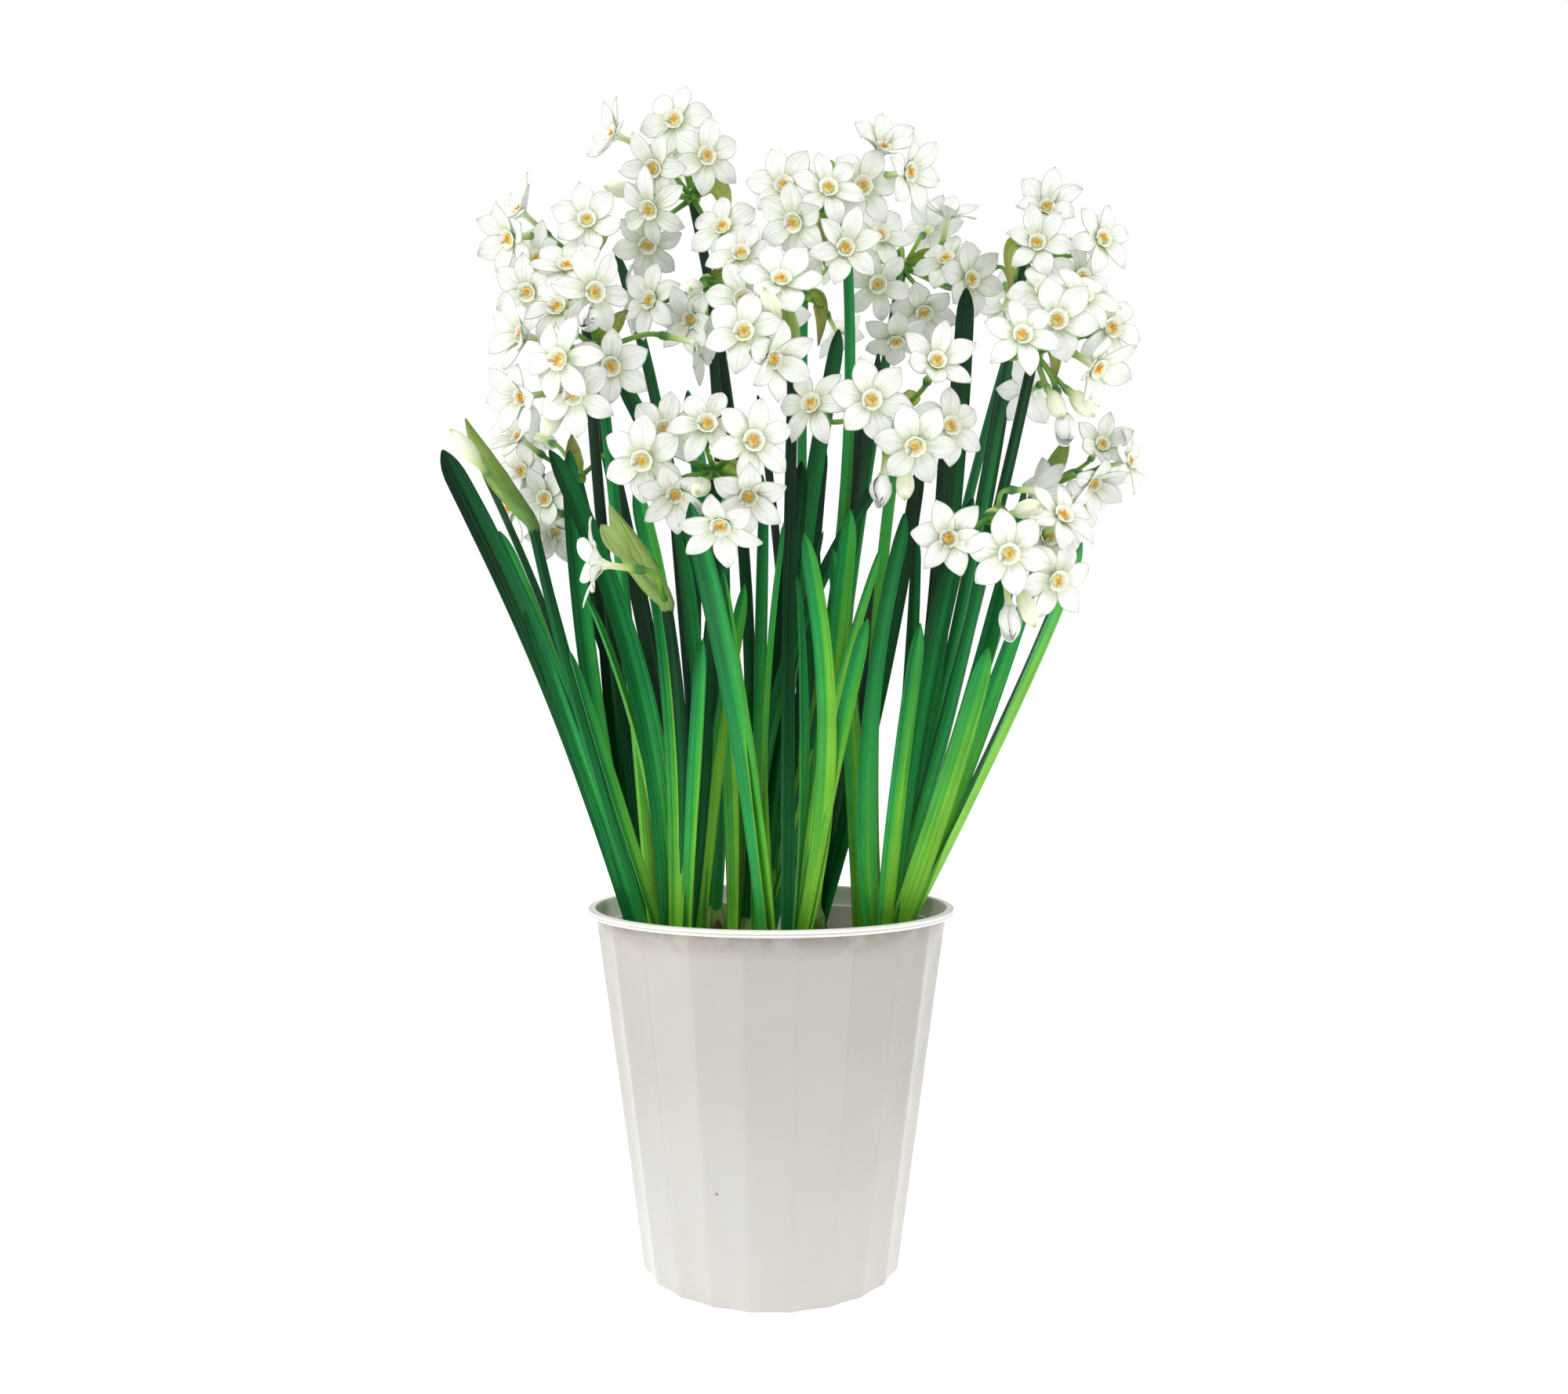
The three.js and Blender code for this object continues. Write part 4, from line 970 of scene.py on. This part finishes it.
def show_axis(across, up, draw):
    """A show floret faces the way its row says, with some play."""
    axis = np.array((across, -math.sqrt(1 - across * across - up * up), up))
    return unit(axis + np.array((draw() - 0.5, draw() - 0.5, draw() - 0.5)) * SHOW_PLAY)


def back_axis(outward, draw):
    """A floret round the back faces away from its hub and a little down."""
    axis = outward * (1, 1, 0.45 if outward[2] > 0 else 1)
    return unit(axis + np.array((draw() - 0.5, 0.6 * (draw() - 0.5), draw() - 0.6)) * BACK_PLAY)


def bud_line(umbel, spot):
    """Way out and reach of a bud's tip from its hub."""
    hub = hubs[umbel]
    flat = on_sight(spot, hub[1]) - hub
    centre = on_sight(spot, hub[1] - max(28, 38 - math.hypot(flat[0], flat[2])))
    return unit(centre - hub), math.dist(centre, hub) + BUD_LENGTH / 2


def show_draw(umbel, spot, draw):
    hub = hubs[umbel]
    flat = on_sight(spot, hub[1]) - hub
    off = math.hypot(flat[0], flat[2])
    reach = max(mix(28, 50, draw()), math.hypot(off, 16))
    near = hub[1] - math.sqrt(reach * reach - off * off)
    centre = on_sight((spot[0] + 4 * (draw() - 0.5), spot[1] + 4 * (draw() - 0.5)), near)
    axis = show_axis(spot[2], spot[3], draw)
    return umbel, centre, axis, draw() * math.pi / 3


def back_draw(umbel, draw):
    swing = (draw() - 0.5) * (1.1 if UMBELS[umbel][3] else 2) * math.pi + math.pi / 2
    lift = mix(-0.5, 1.05, draw())
    reach = mix(32, 46, draw())
    outward = np.array(
        (math.cos(swing) * math.cos(lift), math.sin(swing) * math.cos(lift), math.sin(lift))
    )
    centre = hubs[umbel] + outward * reach
    return umbel, centre, back_axis(outward, draw), draw() * math.pi / 3


placed = []
for number, rows in enumerate(LEAVES):
    placed += [line_rods(leaf_line(bulb_places[number], row), "leaf", -1) for row in rows]
for u, umbel in enumerate(UMBELS):
    placed.append(line_rods(stem_line(u), "stem", u))
    for spot in umbel[4]:
        outward, reach = bud_line(u, spot)
        tip = hubs[u] + outward * reach
        placed.append(rods([(hubs[u] + outward * STALK_START, tip)], ["bud"], u, tip))
taken = [np.concatenate(column) for column in zip(*placed)]

wanted = []
for u, umbel in enumerate(UMBELS):
    wanted += [(u, 100 * u + i, SHOW_DRAWS, spot) for i, spot in enumerate(umbel[3])]
for u, umbel in enumerate(UMBELS):
    wanted += [(u, 100 * u + 50 + i, BACK_DRAWS, None) for i in range(umbel[5])]
florets = []
for u, seed, draws, spot in wanted:
    draw = drawer(seed)
    best = None
    for attempt in range(draws):
        floret = show_draw(u, spot, draw) if spot else back_draw(u, draw)
        new = floret_rods(*floret)
        clear = slack(new, taken, u)
        if best is None or clear > best[0]:
            best = clear, floret, new
        if clear >= 0:
            break
    if spot or best[0] >= 0:
        florets.append(best[1])
        taken = [np.concatenate(pair) for pair in zip(taken, best[2])]

# ---- The florets ----
# A floret has three outer and three inner white tepals, a short white cup with a crimped rim, and
# six orange anthers round a stigma in its throat. They are soft, faintly veined and satiny.

TEPAL_LENGTH = 15.6
TEPAL_FOOT = 1.9
TEPAL_STEPS = 24
TEPAL_BROADEST = 0.54
CUP_SIDES = 18


def petal_finish(name, foot, body, vein, edge, strength):
    made, tree, shader = new_finish(name, Roughness=0.5, Specular_IOR_Level=0.3)
    place = on_map(tree)
    own = own_tone(tree)
    veins = lines(tree, 22, 1.4, own)
    # Greener at the foot and darker down the middle, fading towards the tip: partly the tepal's own
    # colour and midvein, partly painted shade round the cup and in the groove along the middle.
    tint = ramp(tree, place["Y"], (0.0, *foot), (0.45, *body), (1.0, *body))
    tint = stain(tree, tint, veins, vein, strength)
    middle = sums(tree, "ABSOLUTE", sums(tree, "SUBTRACT", place["X"], 0.5))
    rib = span(tree, middle, 0.0, 0.07, 1.0, 0.0)
    rib = sums(tree, "MULTIPLY", rib, span(tree, place["Y"], 0.0, 0.95, strength * 1.4, 0.0))
    tint = stain(tree, tint, rib, vein)
    # Painted shade: the edges and tips of each tepal are painted a darker grey-green, as outlines where
    # light falls off at the edges; half-open buds get lighter ones.
    rim = sums(tree, "MAXIMUM", span(tree, middle, 0.45, 0.5), span(tree, place["Y"], 0.965, 1.0))
    rim = sums(tree, "MULTIPLY", rim, span(tree, own, 1.0, 2.0, 0.8, 0.12))
    tint = stain(tree, tint, rim, edge)
    dress(tree, shader, tint, veins, 0.0004, 0.8)
    return made


petal_white = petal_finish(
    "petal_white", (234, 239, 222), (251, 251, 249), (218, 224, 213), (168, 180, 156), 0.3
)
petal_back = petal_finish(
    "petal_back", (206, 220, 164), (250, 250, 246), (208, 216, 200), (160, 174, 146), 0.38
)

cup_white, tree, shader = new_finish("cup_white", Roughness=0.5, Specular_IOR_Level=0.3)
rise = on_map(tree)["Y"]
tint = ramp(
    tree, rise, (0.0, 232, 232, 140), (0.3, 246, 247, 204), (0.7, 252, 253, 242),
    (1.0, 254, 254, 251),
)
crimp = lines(tree, 34, 1, 0.3)
tint = stain(tree, tint, crimp, (222, 220, 200), 0.2)
dress(tree, shader, tint, crimp, 0.0003)

anther_orange, tree, shader = new_finish("anther_orange", Roughness=0.8)
here = own_place(tree)
pollen = clouds(tree, here, 1800, 0.3, 0.7)
tint = ramp(tree, pollen, (0.0, 206, 116, 10), (0.4, 244, 164, 18), (1.0, 255, 206, 60))
dress(tree, shader, tint, pollen, 0.0003)

deselect()
bpy.ops.mesh.primitive_grid_add(x_subdivisions=6, y_subdivisions=12, size=2)
tepal_blank = blank(petal_white, petal_back)


def tepal_width(share):
    """Share of the full half width along a tepal: narrow foot, broad past the middle, drawn tip."""
    if share < TEPAL_BROADEST:
        return 0.38 + 0.62 * math.sin(math.pi / 2 * share / TEPAL_BROADEST)
    return max(0.06, (1 - ((share - TEPAL_BROADEST) / (1 - TEPAL_BROADEST)) ** 1.9) ** 0.9)


def tepal(number, form, draw):
    """One tepal of a floret round the Z axis, which rises at its foot and bends over at its tip."""
    rise, bow = form["rise"] + 20 * (draw() - 0.5), form["bow"] + 30 * (draw() - 0.5)
    half = mix(4.4, 5.3, draw()) * form["wide"] * (1 if number % 2 else 1.08)
    length = TEPAL_LENGTH * mix(0.93, 1.03, draw())
    twist, fold, sway = 0.7 * (draw() - 0.5), mix(-1.0, 1.3, draw()), 6.3 * draw()
    lean = 0.2 * (draw() - 0.5)
    layer = 0.35 if number % 2 else -0.45
    stride = length / TEPAL_STEPS
    path = [(TEPAL_FOOT, layer - 0.2, math.radians(rise))]
    for step in range(1, TEPAL_STEPS + 1):
        slope = math.radians(mix(rise, rise - bow, (step / TEPAL_STEPS) ** 1.3))
        r, z, _ = path[-1]
        path.append((r + stride * math.cos(slope), z + stride * math.sin(slope), slope))
    mesh = tepal_blank.copy()
    for vertex in mesh.vertices:
        across, share = vertex.co.x, (vertex.co.y + 1) / 2
        r, z, slope = path[round(share * TEPAL_STEPS)]
        wide = half * tepal_width(share)
        edge = across * wide
        lift = fold * across * across * wide / half - 0.55 * (1 - abs(across)) ** 1.6 * (1 - share)
        lift += 0.3 * across * math.sin(7 * share + sway) + math.tan(twist * share) * edge
        r, z = r - lift * math.sin(slope), z + lift * math.cos(slope)
        round_angle = edge / max(r, 3.4)
        curved = Vector((r * math.cos(round_angle), r * math.sin(round_angle), z))
        point = Vector((r, edge, z)).lerp(curved, form["wrap"])
        turn = Matrix.Rotation(number * math.pi / 3 + lean * share, 3, "Z")
        vertex.co = (turn @ point) * MM
    return thicken(add("tepal", mesh), 0.4, backed=1)


def cup(form, draw):
    """The short cup: an open ring, flared and crimped at its rim, and the throat inside it."""
    ring = cut_cylinder(CUP_SIDES, 4, "NOTHING")
    phase = 6.3 * draw()
    uv = ring.data.uv_layers[0].data
    for loop in ring.data.loops:
        at = ring.data.vertices[loop.vertex_index].co
        uv[loop.index].uv = (math.atan2(at.y, at.x) / (2 * math.pi), at.z)
    for vertex in ring.data.vertices:
        angle, share = math.atan2(vertex.co.y, vertex.co.x), vertex.co.z
        radius = np.interp(share, (0, 0.25, 0.5, 0.75, 1), (1.9, 2.8, 3.3, 3.7, 4.2)) * form["cup"]
        radius *= 1 + 0.03 * share * math.sin(6 * angle + phase)
        up = -0.4 + 2.7 * share + 0.28 * share * math.sin(9 * angle + phase)
        vertex.co = Vector((radius * math.cos(angle), radius * math.sin(angle), up)) * MM
    ring.data.materials.append(cup_white)
    thicken(ring, 0.35)
    deselect()
    bpy.ops.mesh.primitive_cone_add(
        vertices=CUP_SIDES, radius1=2.3 * MM, depth=1.2 * MM, location=(0, 0, 0.2 * MM),
        end_fill_type="TRIFAN",
    )
    throat = bpy.context.object
    bpy.ops.object.transform_apply(location=True)
    for vertex in throat.data.vertices:
        if vertex.co.z > 0.5 * MM:
            vertex.co.z = 0.1 * MM
    for loop in throat.data.loops:
        throat.data.uv_layers[0].data[loop.index].uv = (0, 0.05)
    throat.data.materials.append(cup_white)
    return [ring, throat]


def anthers(draw):
    """Three long anthers at the mouth of the throat, three lower ones between them and a stigma."""
    made = []
    for number in range(7):
        deselect()
        bpy.ops.mesh.primitive_uv_sphere_add(segments=8, ring_count=6, radius=MM)
        one = bpy.context.object
        angle = number * math.pi / 3 + 0.5 * (draw() - 0.5)
        far, up, size = (0.95, 2.3, (0.45, 0.36, 1.0)) if number % 2 else (0.9, 1.6, (0.45, 0.36, 0.9))
        if number == 6:
            far, up, size = 0, 2.5, (0.36, 0.36, 0.45)
        tip = mix(0.5, 1.3, draw())
        turn = Matrix.Rotation(angle, 4, "Z") @ Matrix.Rotation(tip, 4, "Y")
        at = Vector((far * math.cos(angle), far * math.sin(angle), up)) * MM
        one.data.transform(Matrix.Translation(at) @ turn @ Matrix.Diagonal((*size, 1)))
        one.data.materials.append(anther_orange)
        made.append(one)
    return made


# How the tepals stand: rise at the foot and bow towards the tip in degrees, how far each wraps
# round the axis, their width and the size of the cup.
FORMS = [
    {"rise": 10, "bow": 26, "wrap": 0.0, "wide": 1.04, "cup": 1.0},
    {"rise": 26, "bow": 50, "wrap": 0.1, "wide": 0.9, "cup": 1.0},
    {"rise": 4, "bow": 18, "wrap": 0.0, "wide": 1.0, "cup": 1.04},
    {"rise": 40, "bow": 40, "wrap": 0.3, "wide": 0.86, "cup": 0.95},
    {"rise": 18, "bow": 12, "wrap": 0.1, "wide": 1.06, "cup": 1.0},
    {"rise": 8, "bow": 48, "wrap": 0.0, "wide": 0.84, "cup": 1.0},
    {"rise": 28, "bow": 2, "wrap": 0.2, "wide": 0.94, "cup": 0.95},
    {"rise": 50, "bow": 44, "wrap": 0.5, "wide": 0.9, "cup": 0.85},
    {"rise": 56, "bow": -86, "wrap": 1.0, "wide": 1.06, "cup": 0.5},
]


def floret_model(number):
    form, draw = FORMS[number], drawer(2000 + number)
    join([tepal(k, form, draw) for k in range(6)] + cup(form, draw) + anthers(draw))
    return blank()


floret_models = [floret_model(number) for number in range(len(FORMS))]


def open_floret(model, centre, axis, roll, size, tone):
    side, rise = floret_ways(axis)
    mesh = model.copy()
    turn = Matrix([side, rise, axis]).transposed().to_4x4() @ Matrix.Rotation(roll, 4, "Z")
    mesh.transform(Matrix.Translation(Vector(centre) * MM) @ turn @ Matrix.Scale(size, 4))
    tone_of(mesh, tone)
    return add("floret", mesh)


# ---- The stalks, buds and hubs ----
# From the hub at the stem's top each floret has a thin green stalk, a dark swollen ovary and a pale
# tube. Unopened buds are white-green and pointed.

HUB_RADIUS = 4.1
STALK_ROOT = 2.2

stalk_green, tree, shader = new_finish("stalk_green", Roughness=0.45, IOR=1.4)
far = on_map(tree)["Y"]
own = own_tone(tree)
veins = lines(tree, 9, 1.5, own)
tint = ramp(
    tree, far, (0.0, 58, 120, 40), (0.3, 122, 168, 52), (0.46, 96, 146, 46), (0.54, 34, 96, 40),
    (0.62, 60, 122, 48), (0.7, 166, 192, 96), (0.88, 216, 226, 170), (1.0, 238, 241, 220),
)
tint = stain(tree, tint, veins, (70, 120, 50), 0.3)
dress(tree, shader, tint, veins, 0.0002)

bud_cream, tree, shader = new_finish("bud_cream", Roughness=0.5, IOR=1.38)
far = on_map(tree)["Y"]
own = own_tone(tree)
veins = lines(tree, 14, 1.2, own)
tint = ramp(
    tree, far, (0.0, 74, 132, 44), (0.34, 104, 152, 50), (0.4, 50, 110, 42), (0.46, 140, 176, 84),
    (0.58, 206, 220, 160), (0.75, 240, 241, 218), (0.95, 244, 244, 226), (1.0, 200, 212, 150),
)
tint = stain(tree, tint, veins, (196, 208, 156), 0.35)
dress(tree, shader, tint, veins, 0.0003)

stalk_blank = rod_blank(8, 20)
bud_blank = rod_blank(12, 18)
STALK_PROFILE = (
    (0, 0.1, 0.4, 0.5, 0.53, 0.57, 0.6, 0.64, 0.68, 0.9, 0.97, 1),
    (1.5, 1.15, 1.05, 1.2, 1.75, 2.05, 1.95, 1.55, 1.35, 1.4, 2.0, 2.7),
)


def stalk(umbel, centre, axis, number):
    """Stalk, ovary and tube of one floret as one bent rod."""
    hub = hubs[umbel]
    ovary = centre - axis * TUBE_LENGTH
    way = unit(ovary - hub)
    start = hub + way * STALK_ROOT
    gap = math.dist(start, ovary)
    draw = drawer(3000 + number)
    sag = np.array((draw() - 0.5, draw() - 0.5, draw() - 0.2)) * 0.09 * gap
    first, second = start + way * gap * 0.4 + sag, ovary - axis * min(7, 0.34 * gap)
    side = cross(way, axis)
    side = unit(side) if dot(side, side) > 1e-6 else unit(cross(axis, UP))

    def ring(t):
        radius = np.interp(t, *STALK_PROFILE)
        if t >= 0.5:
            return round_rule(ovary + axis * ((t - 0.5) * 2 * (TUBE_LENGTH - 0.2)), axis, side, radius)
        k = 2 * t
        low, high = (start, first, second), (first, second, ovary)
        near, far = on_line(low, k), on_line(high, k)
        return round_rule(mix(near, far, k), unit(far - near), side, radius)

    return cast(stalk_blank, "stalk", stalk_green, draw(), ring)


BUD_STALK_SHARE = 0.36
BUD_PROFILE = (
    (0, 0.1, 0.36, 0.39, 0.43, 0.47, 0.52, 0.62, 0.75, 0.86, 0.94, 1),
    (1.4, 1.1, 1.05, 1.6, 1.9, 1.4, 1.7, 3.3, 4.0, 3.5, 2.1, 0.4),
)


def bud(umbel, spot, number, finish):
    """A closed bud on its stalk, with three tepals wrapped over one another."""
    outward, reach = bud_line(umbel, spot)
    hub = hubs[umbel]
    side = cross(outward, unit(np.array((0.31, 0.2, 0.93))))
    draw = drawer(4000 + number)
    bow = np.array((draw() - 0.5, draw() - 0.5, -0.6)) * 3

    def ring(t):
        radius = np.interp(t, *BUD_PROFILE)
        stalk_end = reach - BUD_LENGTH * 1.25
        far = np.interp(t, (0, BUD_STALK_SHARE, 1), (STALK_ROOT, stalk_end, reach))
        centre = hub + outward * far + bow * math.sin(math.pi * min(1, t / 0.6)) * 0.4
        rule = round_rule(centre, outward, side, 1)
        folds = 0.16 if t > 0.5 else 0

        def spot_on(c, s):
            angle = math.atan2(s, c)
            swell = radius * (1 - folds * abs(math.sin(1.5 * angle + 1.6 * t)) ** 6) * math.hypot(c, s)
            return rule(swell * math.cos(angle), swell * math.sin(angle))

        return spot_on

    return cast(bud_blank, "bud", finish, draw(), ring)


def half_open_bud(umbel, spot, number):
    """A nodding bud whose tepals have just parted, on a stalk like a floret's."""
    outward, reach = bud_line(umbel, spot)
    axis = unit(outward + np.array((0.0, -0.15, -0.5)))
    centre = hubs[umbel] + outward * (reach - 2) - axis * 13
    draw = drawer(4500 + number)
    flower = open_floret(floret_models[-1], centre, axis, draw(), 0.95, 2.0 + draw())
    return flower, stalk(umbel, centre, axis, 500 + number)


deselect()
bpy.ops.mesh.primitive_uv_sphere_add(segments=12, ring_count=8, radius=HUB_RADIUS * MM)
hub_blank = blank(stalk_green)

# ---- The spathes ----
# The papery sheath that wrapped each umbel. On open heads it is an olive, veined, wrinkled scrap
# hanging at the hub, and on young heads a green swollen pod from which the buds push out.

# The young umbels, each with the tone of its pod: 0 is deep green and 1 is pale.
YOUNG = {5: 0.3, 12: 0.0, 14: 0.15, 15: 0.6}
GREEN_BUDS_ABOVE = 0.5
SPATHE_PROFILE = ((0, 0.15, 0.35, 0.65, 0.85, 1), (0.35, 0.75, 1, 0.85, 0.5, 0.08))
POD_PROFILE = ((0, 0.2, 0.45, 0.7, 0.88, 1), (0.62, 0.86, 1, 0.78, 0.42, 0.08))

spathe_paper, tree, shader = new_finish("spathe_paper", Roughness=0.55)
here = own_place(tree)
far = on_map(tree)["Y"]
own = own_tone(tree)
veins = lines(tree, 22, 1, own)
tint = ramp(
    tree, far, (0.0, 120, 158, 48), (0.4, 154, 176, 70), (0.8, 182, 184, 100), (1.0, 202, 188, 130),
)
tint = stain(tree, tint, veins, (106, 124, 40), 0.6)
tint = stain(tree, tint, clouds(tree, here, 210, 0.5, 0.75), (140, 112, 58), 0.5)
dress(tree, shader, tint, veins, 0.0006)

pod_green, tree, shader = new_finish("pod_green", Roughness=0.45, Specular_IOR_Level=0.35)
here = own_place(tree)
far = on_map(tree)["Y"]
own = own_tone(tree)
veins = lines(tree, 20, 0.8, own)
tint = ramp(
    tree, far, (0.0, 16, 92, 34), (0.2, 58, 118, 34), (0.5, 104, 140, 42), (0.8, 120, 150, 54),
    (1.0, 112, 128, 52),
)
tint = stain(tree, tint, own, (196, 218, 132), 0.72)
tint = stain(tree, tint, veins, (74, 106, 28), 0.6)
tint = stain(tree, tint, clouds(tree, here, 140, 0.45, 0.75), (176, 190, 100), 0.3)
dress(tree, shader, tint, veins, 0.0005)

spathe_blank = rod_blank(14, 14)


def spathe_line(number):
    across, depth, up, width = UMBELS[number][6]
    hub = hubs[number]
    tip = hub + np.array((across, depth, up), float)
    belly = hub + np.array((across * 0.65, depth * 0.65, max(up * 0.5, 0) + 2))
    return bend(hub, belly, tip), width / 2


def spathe(number):
    line, half = spathe_line(number)

    def ring(t):
        along, centre = along_line(line, t), on_line(line, t)
        across = unit(cross(along, FRONT))
        up = cross(across, along)
        wide = half * np.interp(t, *SPATHE_PROFILE)

        def spot(c, s):
            crumple = 0.7 * noise.noise(Vector((c * 2, t * 6, number)))
            lift = 2.2 * c * c * min(1, wide / 4) + (0.25 if s > 0 else -0.35) + crumple
            return centre + across * wide * c + up * lift

        return spot

    return cast(spathe_blank, "spathe", spathe_paper, drawer(5000 + number)(), ring)


def pod(number):
    """Swollen sheath that runs on from a young stem and narrows to its tip, where the buds come out."""
    line, half = spathe_line(number)
    stem_part = stem_line(number)
    foot = on_line(stem_part, 0.97)
    length = math.dist(foot, hubs[number]) + math.dist(hubs[number], line[2])
    turn = math.dist(foot, hubs[number]) / length

    def ring(t):
        far = max(0, (t - turn) / (1 - turn))
        if t < turn:
            centre, along = mix(foot, hubs[number], t / turn), along_line(stem_part, 1)
        else:
            centre, along = on_line(line, far), along_line(line, far)
        wide = mix(STEM_TIP_RADIUS + 0.2, half * POD_PROFILE[1][0], min(1, t / turn))
        if far > 0:
            wide = half * np.interp(far, *POD_PROFILE)
        rule = round_rule(centre, along, FRONT, wide)

        def spot(c, s):
            angle = math.atan2(s, c)
            crease = 1 - 0.14 * abs(math.sin(angle * 1.5 + 2 * t)) ** 5 - 0.03 * math.sin(7 * angle)
            return rule(c * crease * 0.85, s * crease)

        return spot

    return cast(spathe_blank, "pod", pod_green, YOUNG[number], ring)


# ---- The umbels ----
# Each umbel is put together at its hub: the open florets and half-open buds as one piece, and all
# that is green or papery as another.

for u, umbel in enumerate(UMBELS):
    flowers, greens = [], []
    draw = drawer(6000 + u)
    for number, (owner, centre, axis, roll) in enumerate(florets):
        if owner == u:
            model = floret_models[min(7, int(8 * draw()))]
            flowers.append(open_floret(model, centre, axis, roll, mix(0.96, 1.03, draw()), draw()))
            greens.append(stalk(u, centre, axis, number))
    for number, spot in enumerate(umbel[4]):
        if number % 2:
            flower, holder = half_open_bud(u, spot, 10 * u + number)
            flowers.append(flower)
            greens.append(holder)
        else:
            finish = pod_green if YOUNG.get(u, 0) > GREEN_BUDS_ABOVE else bud_cream
            greens.append(bud(u, spot, 10 * u + number, finish))
    if u in YOUNG:
        greens.append(pod(u))
    else:
        bead = hub_blank.copy()
        bead.transform(Matrix.Translation(Vector(hubs[u]) * MM))
        tone_of(bead, 0.5)
        greens += [add("hub", bead), spathe(u)]
    node_name = f"head_{u + 1:02d}"
    settle(f"umbel_{u + 1:02d}", greens, [node_name], 60)
    if flowers:
        settle(f"florets_{u + 1:02d}", flowers, [node_name], 60)

# ---- The studio ----
# A pale floor and a white surround, with soft lights from the left, the right and high in front,
# and an even one from overhead. The camera stands level with the leaves, close in front.

deselect()
bpy.ops.mesh.primitive_plane_add(size=30)
studio_floor = bpy.context.object
studio_floor.name = "studio_floor"
floor_white, tree, shader = new_finish(
    "floor_white", Roughness=0.9, Specular_IOR_Level=0.1, Emission_Color=(1, 1, 1, 1),
    Emission_Strength=0.35,
)
tint = ramp(tree, clouds(tree, own_place(tree), 3), (0.0, 250, 250, 250), (1.0, 247, 247, 247))
tree.links.new(tint, shader.inputs["Base Color"])
studio_floor.data.materials.append(floor_white)


def softbox(name, place, aim, size, power):
    lamp = bpy.data.lights.new(name, "AREA")
    lamp.shape, lamp.size, lamp.energy = "SQUARE", size, power
    hung = add(name, lamp)
    hung.location = place
    hung.rotation_euler = (Vector(aim) - Vector(place)).to_track_quat("-Z", "Y").to_euler()


softbox("left_light", (-1.5, -0.7, 1.1), (0, 0, 0.3), 1.2, 15)
softbox("right_light", (1.6, -0.5, 0.9), (0, 0, 0.3), 1.2, 12)
softbox("front_light", (-0.5, -1.9, 1.7), (0, 0, 0.35), 1.0, 10)

sky = bpy.data.lights.new("ceiling_light", "SUN")
sky.energy, sky.angle = 1.1, math.radians(90)
add("ceiling_light", sky)

world = bpy.data.worlds.new("white_surround")
bpy.context.scene.world = world
world.use_nodes = True
tree = world.node_tree
tree.nodes.clear()
seen = node(tree, "ShaderNodeBackground", {"Color": (1, 1, 1, 1), "Strength": 1.0})
felt = node(tree, "ShaderNodeBackground", {"Color": (1, 1, 1, 1), "Strength": 0.46})
ray = node(tree, "ShaderNodeLightPath").outputs["Is Camera Ray"]
both = node(tree, "ShaderNodeMixShader", {0: ray, 1: felt.outputs[0], 2: seen.outputs[0]})
node(tree, "ShaderNodeOutputWorld", {"Surface": both.outputs[0]})
bpy.context.scene.view_settings.view_transform = "Standard"

lens = bpy.data.cameras.new("camera")
lens.lens, lens.sensor_width = 27.69, 36
lens.shift_x, lens.shift_y = 0.00825, 0.0333
camera = add("camera", lens)
camera.location = (0, -EYE_BACK * MM, EYE_UP * MM)
camera.rotation_euler = (math.radians(90), 0, 0)
bpy.context.scene.camera = camera
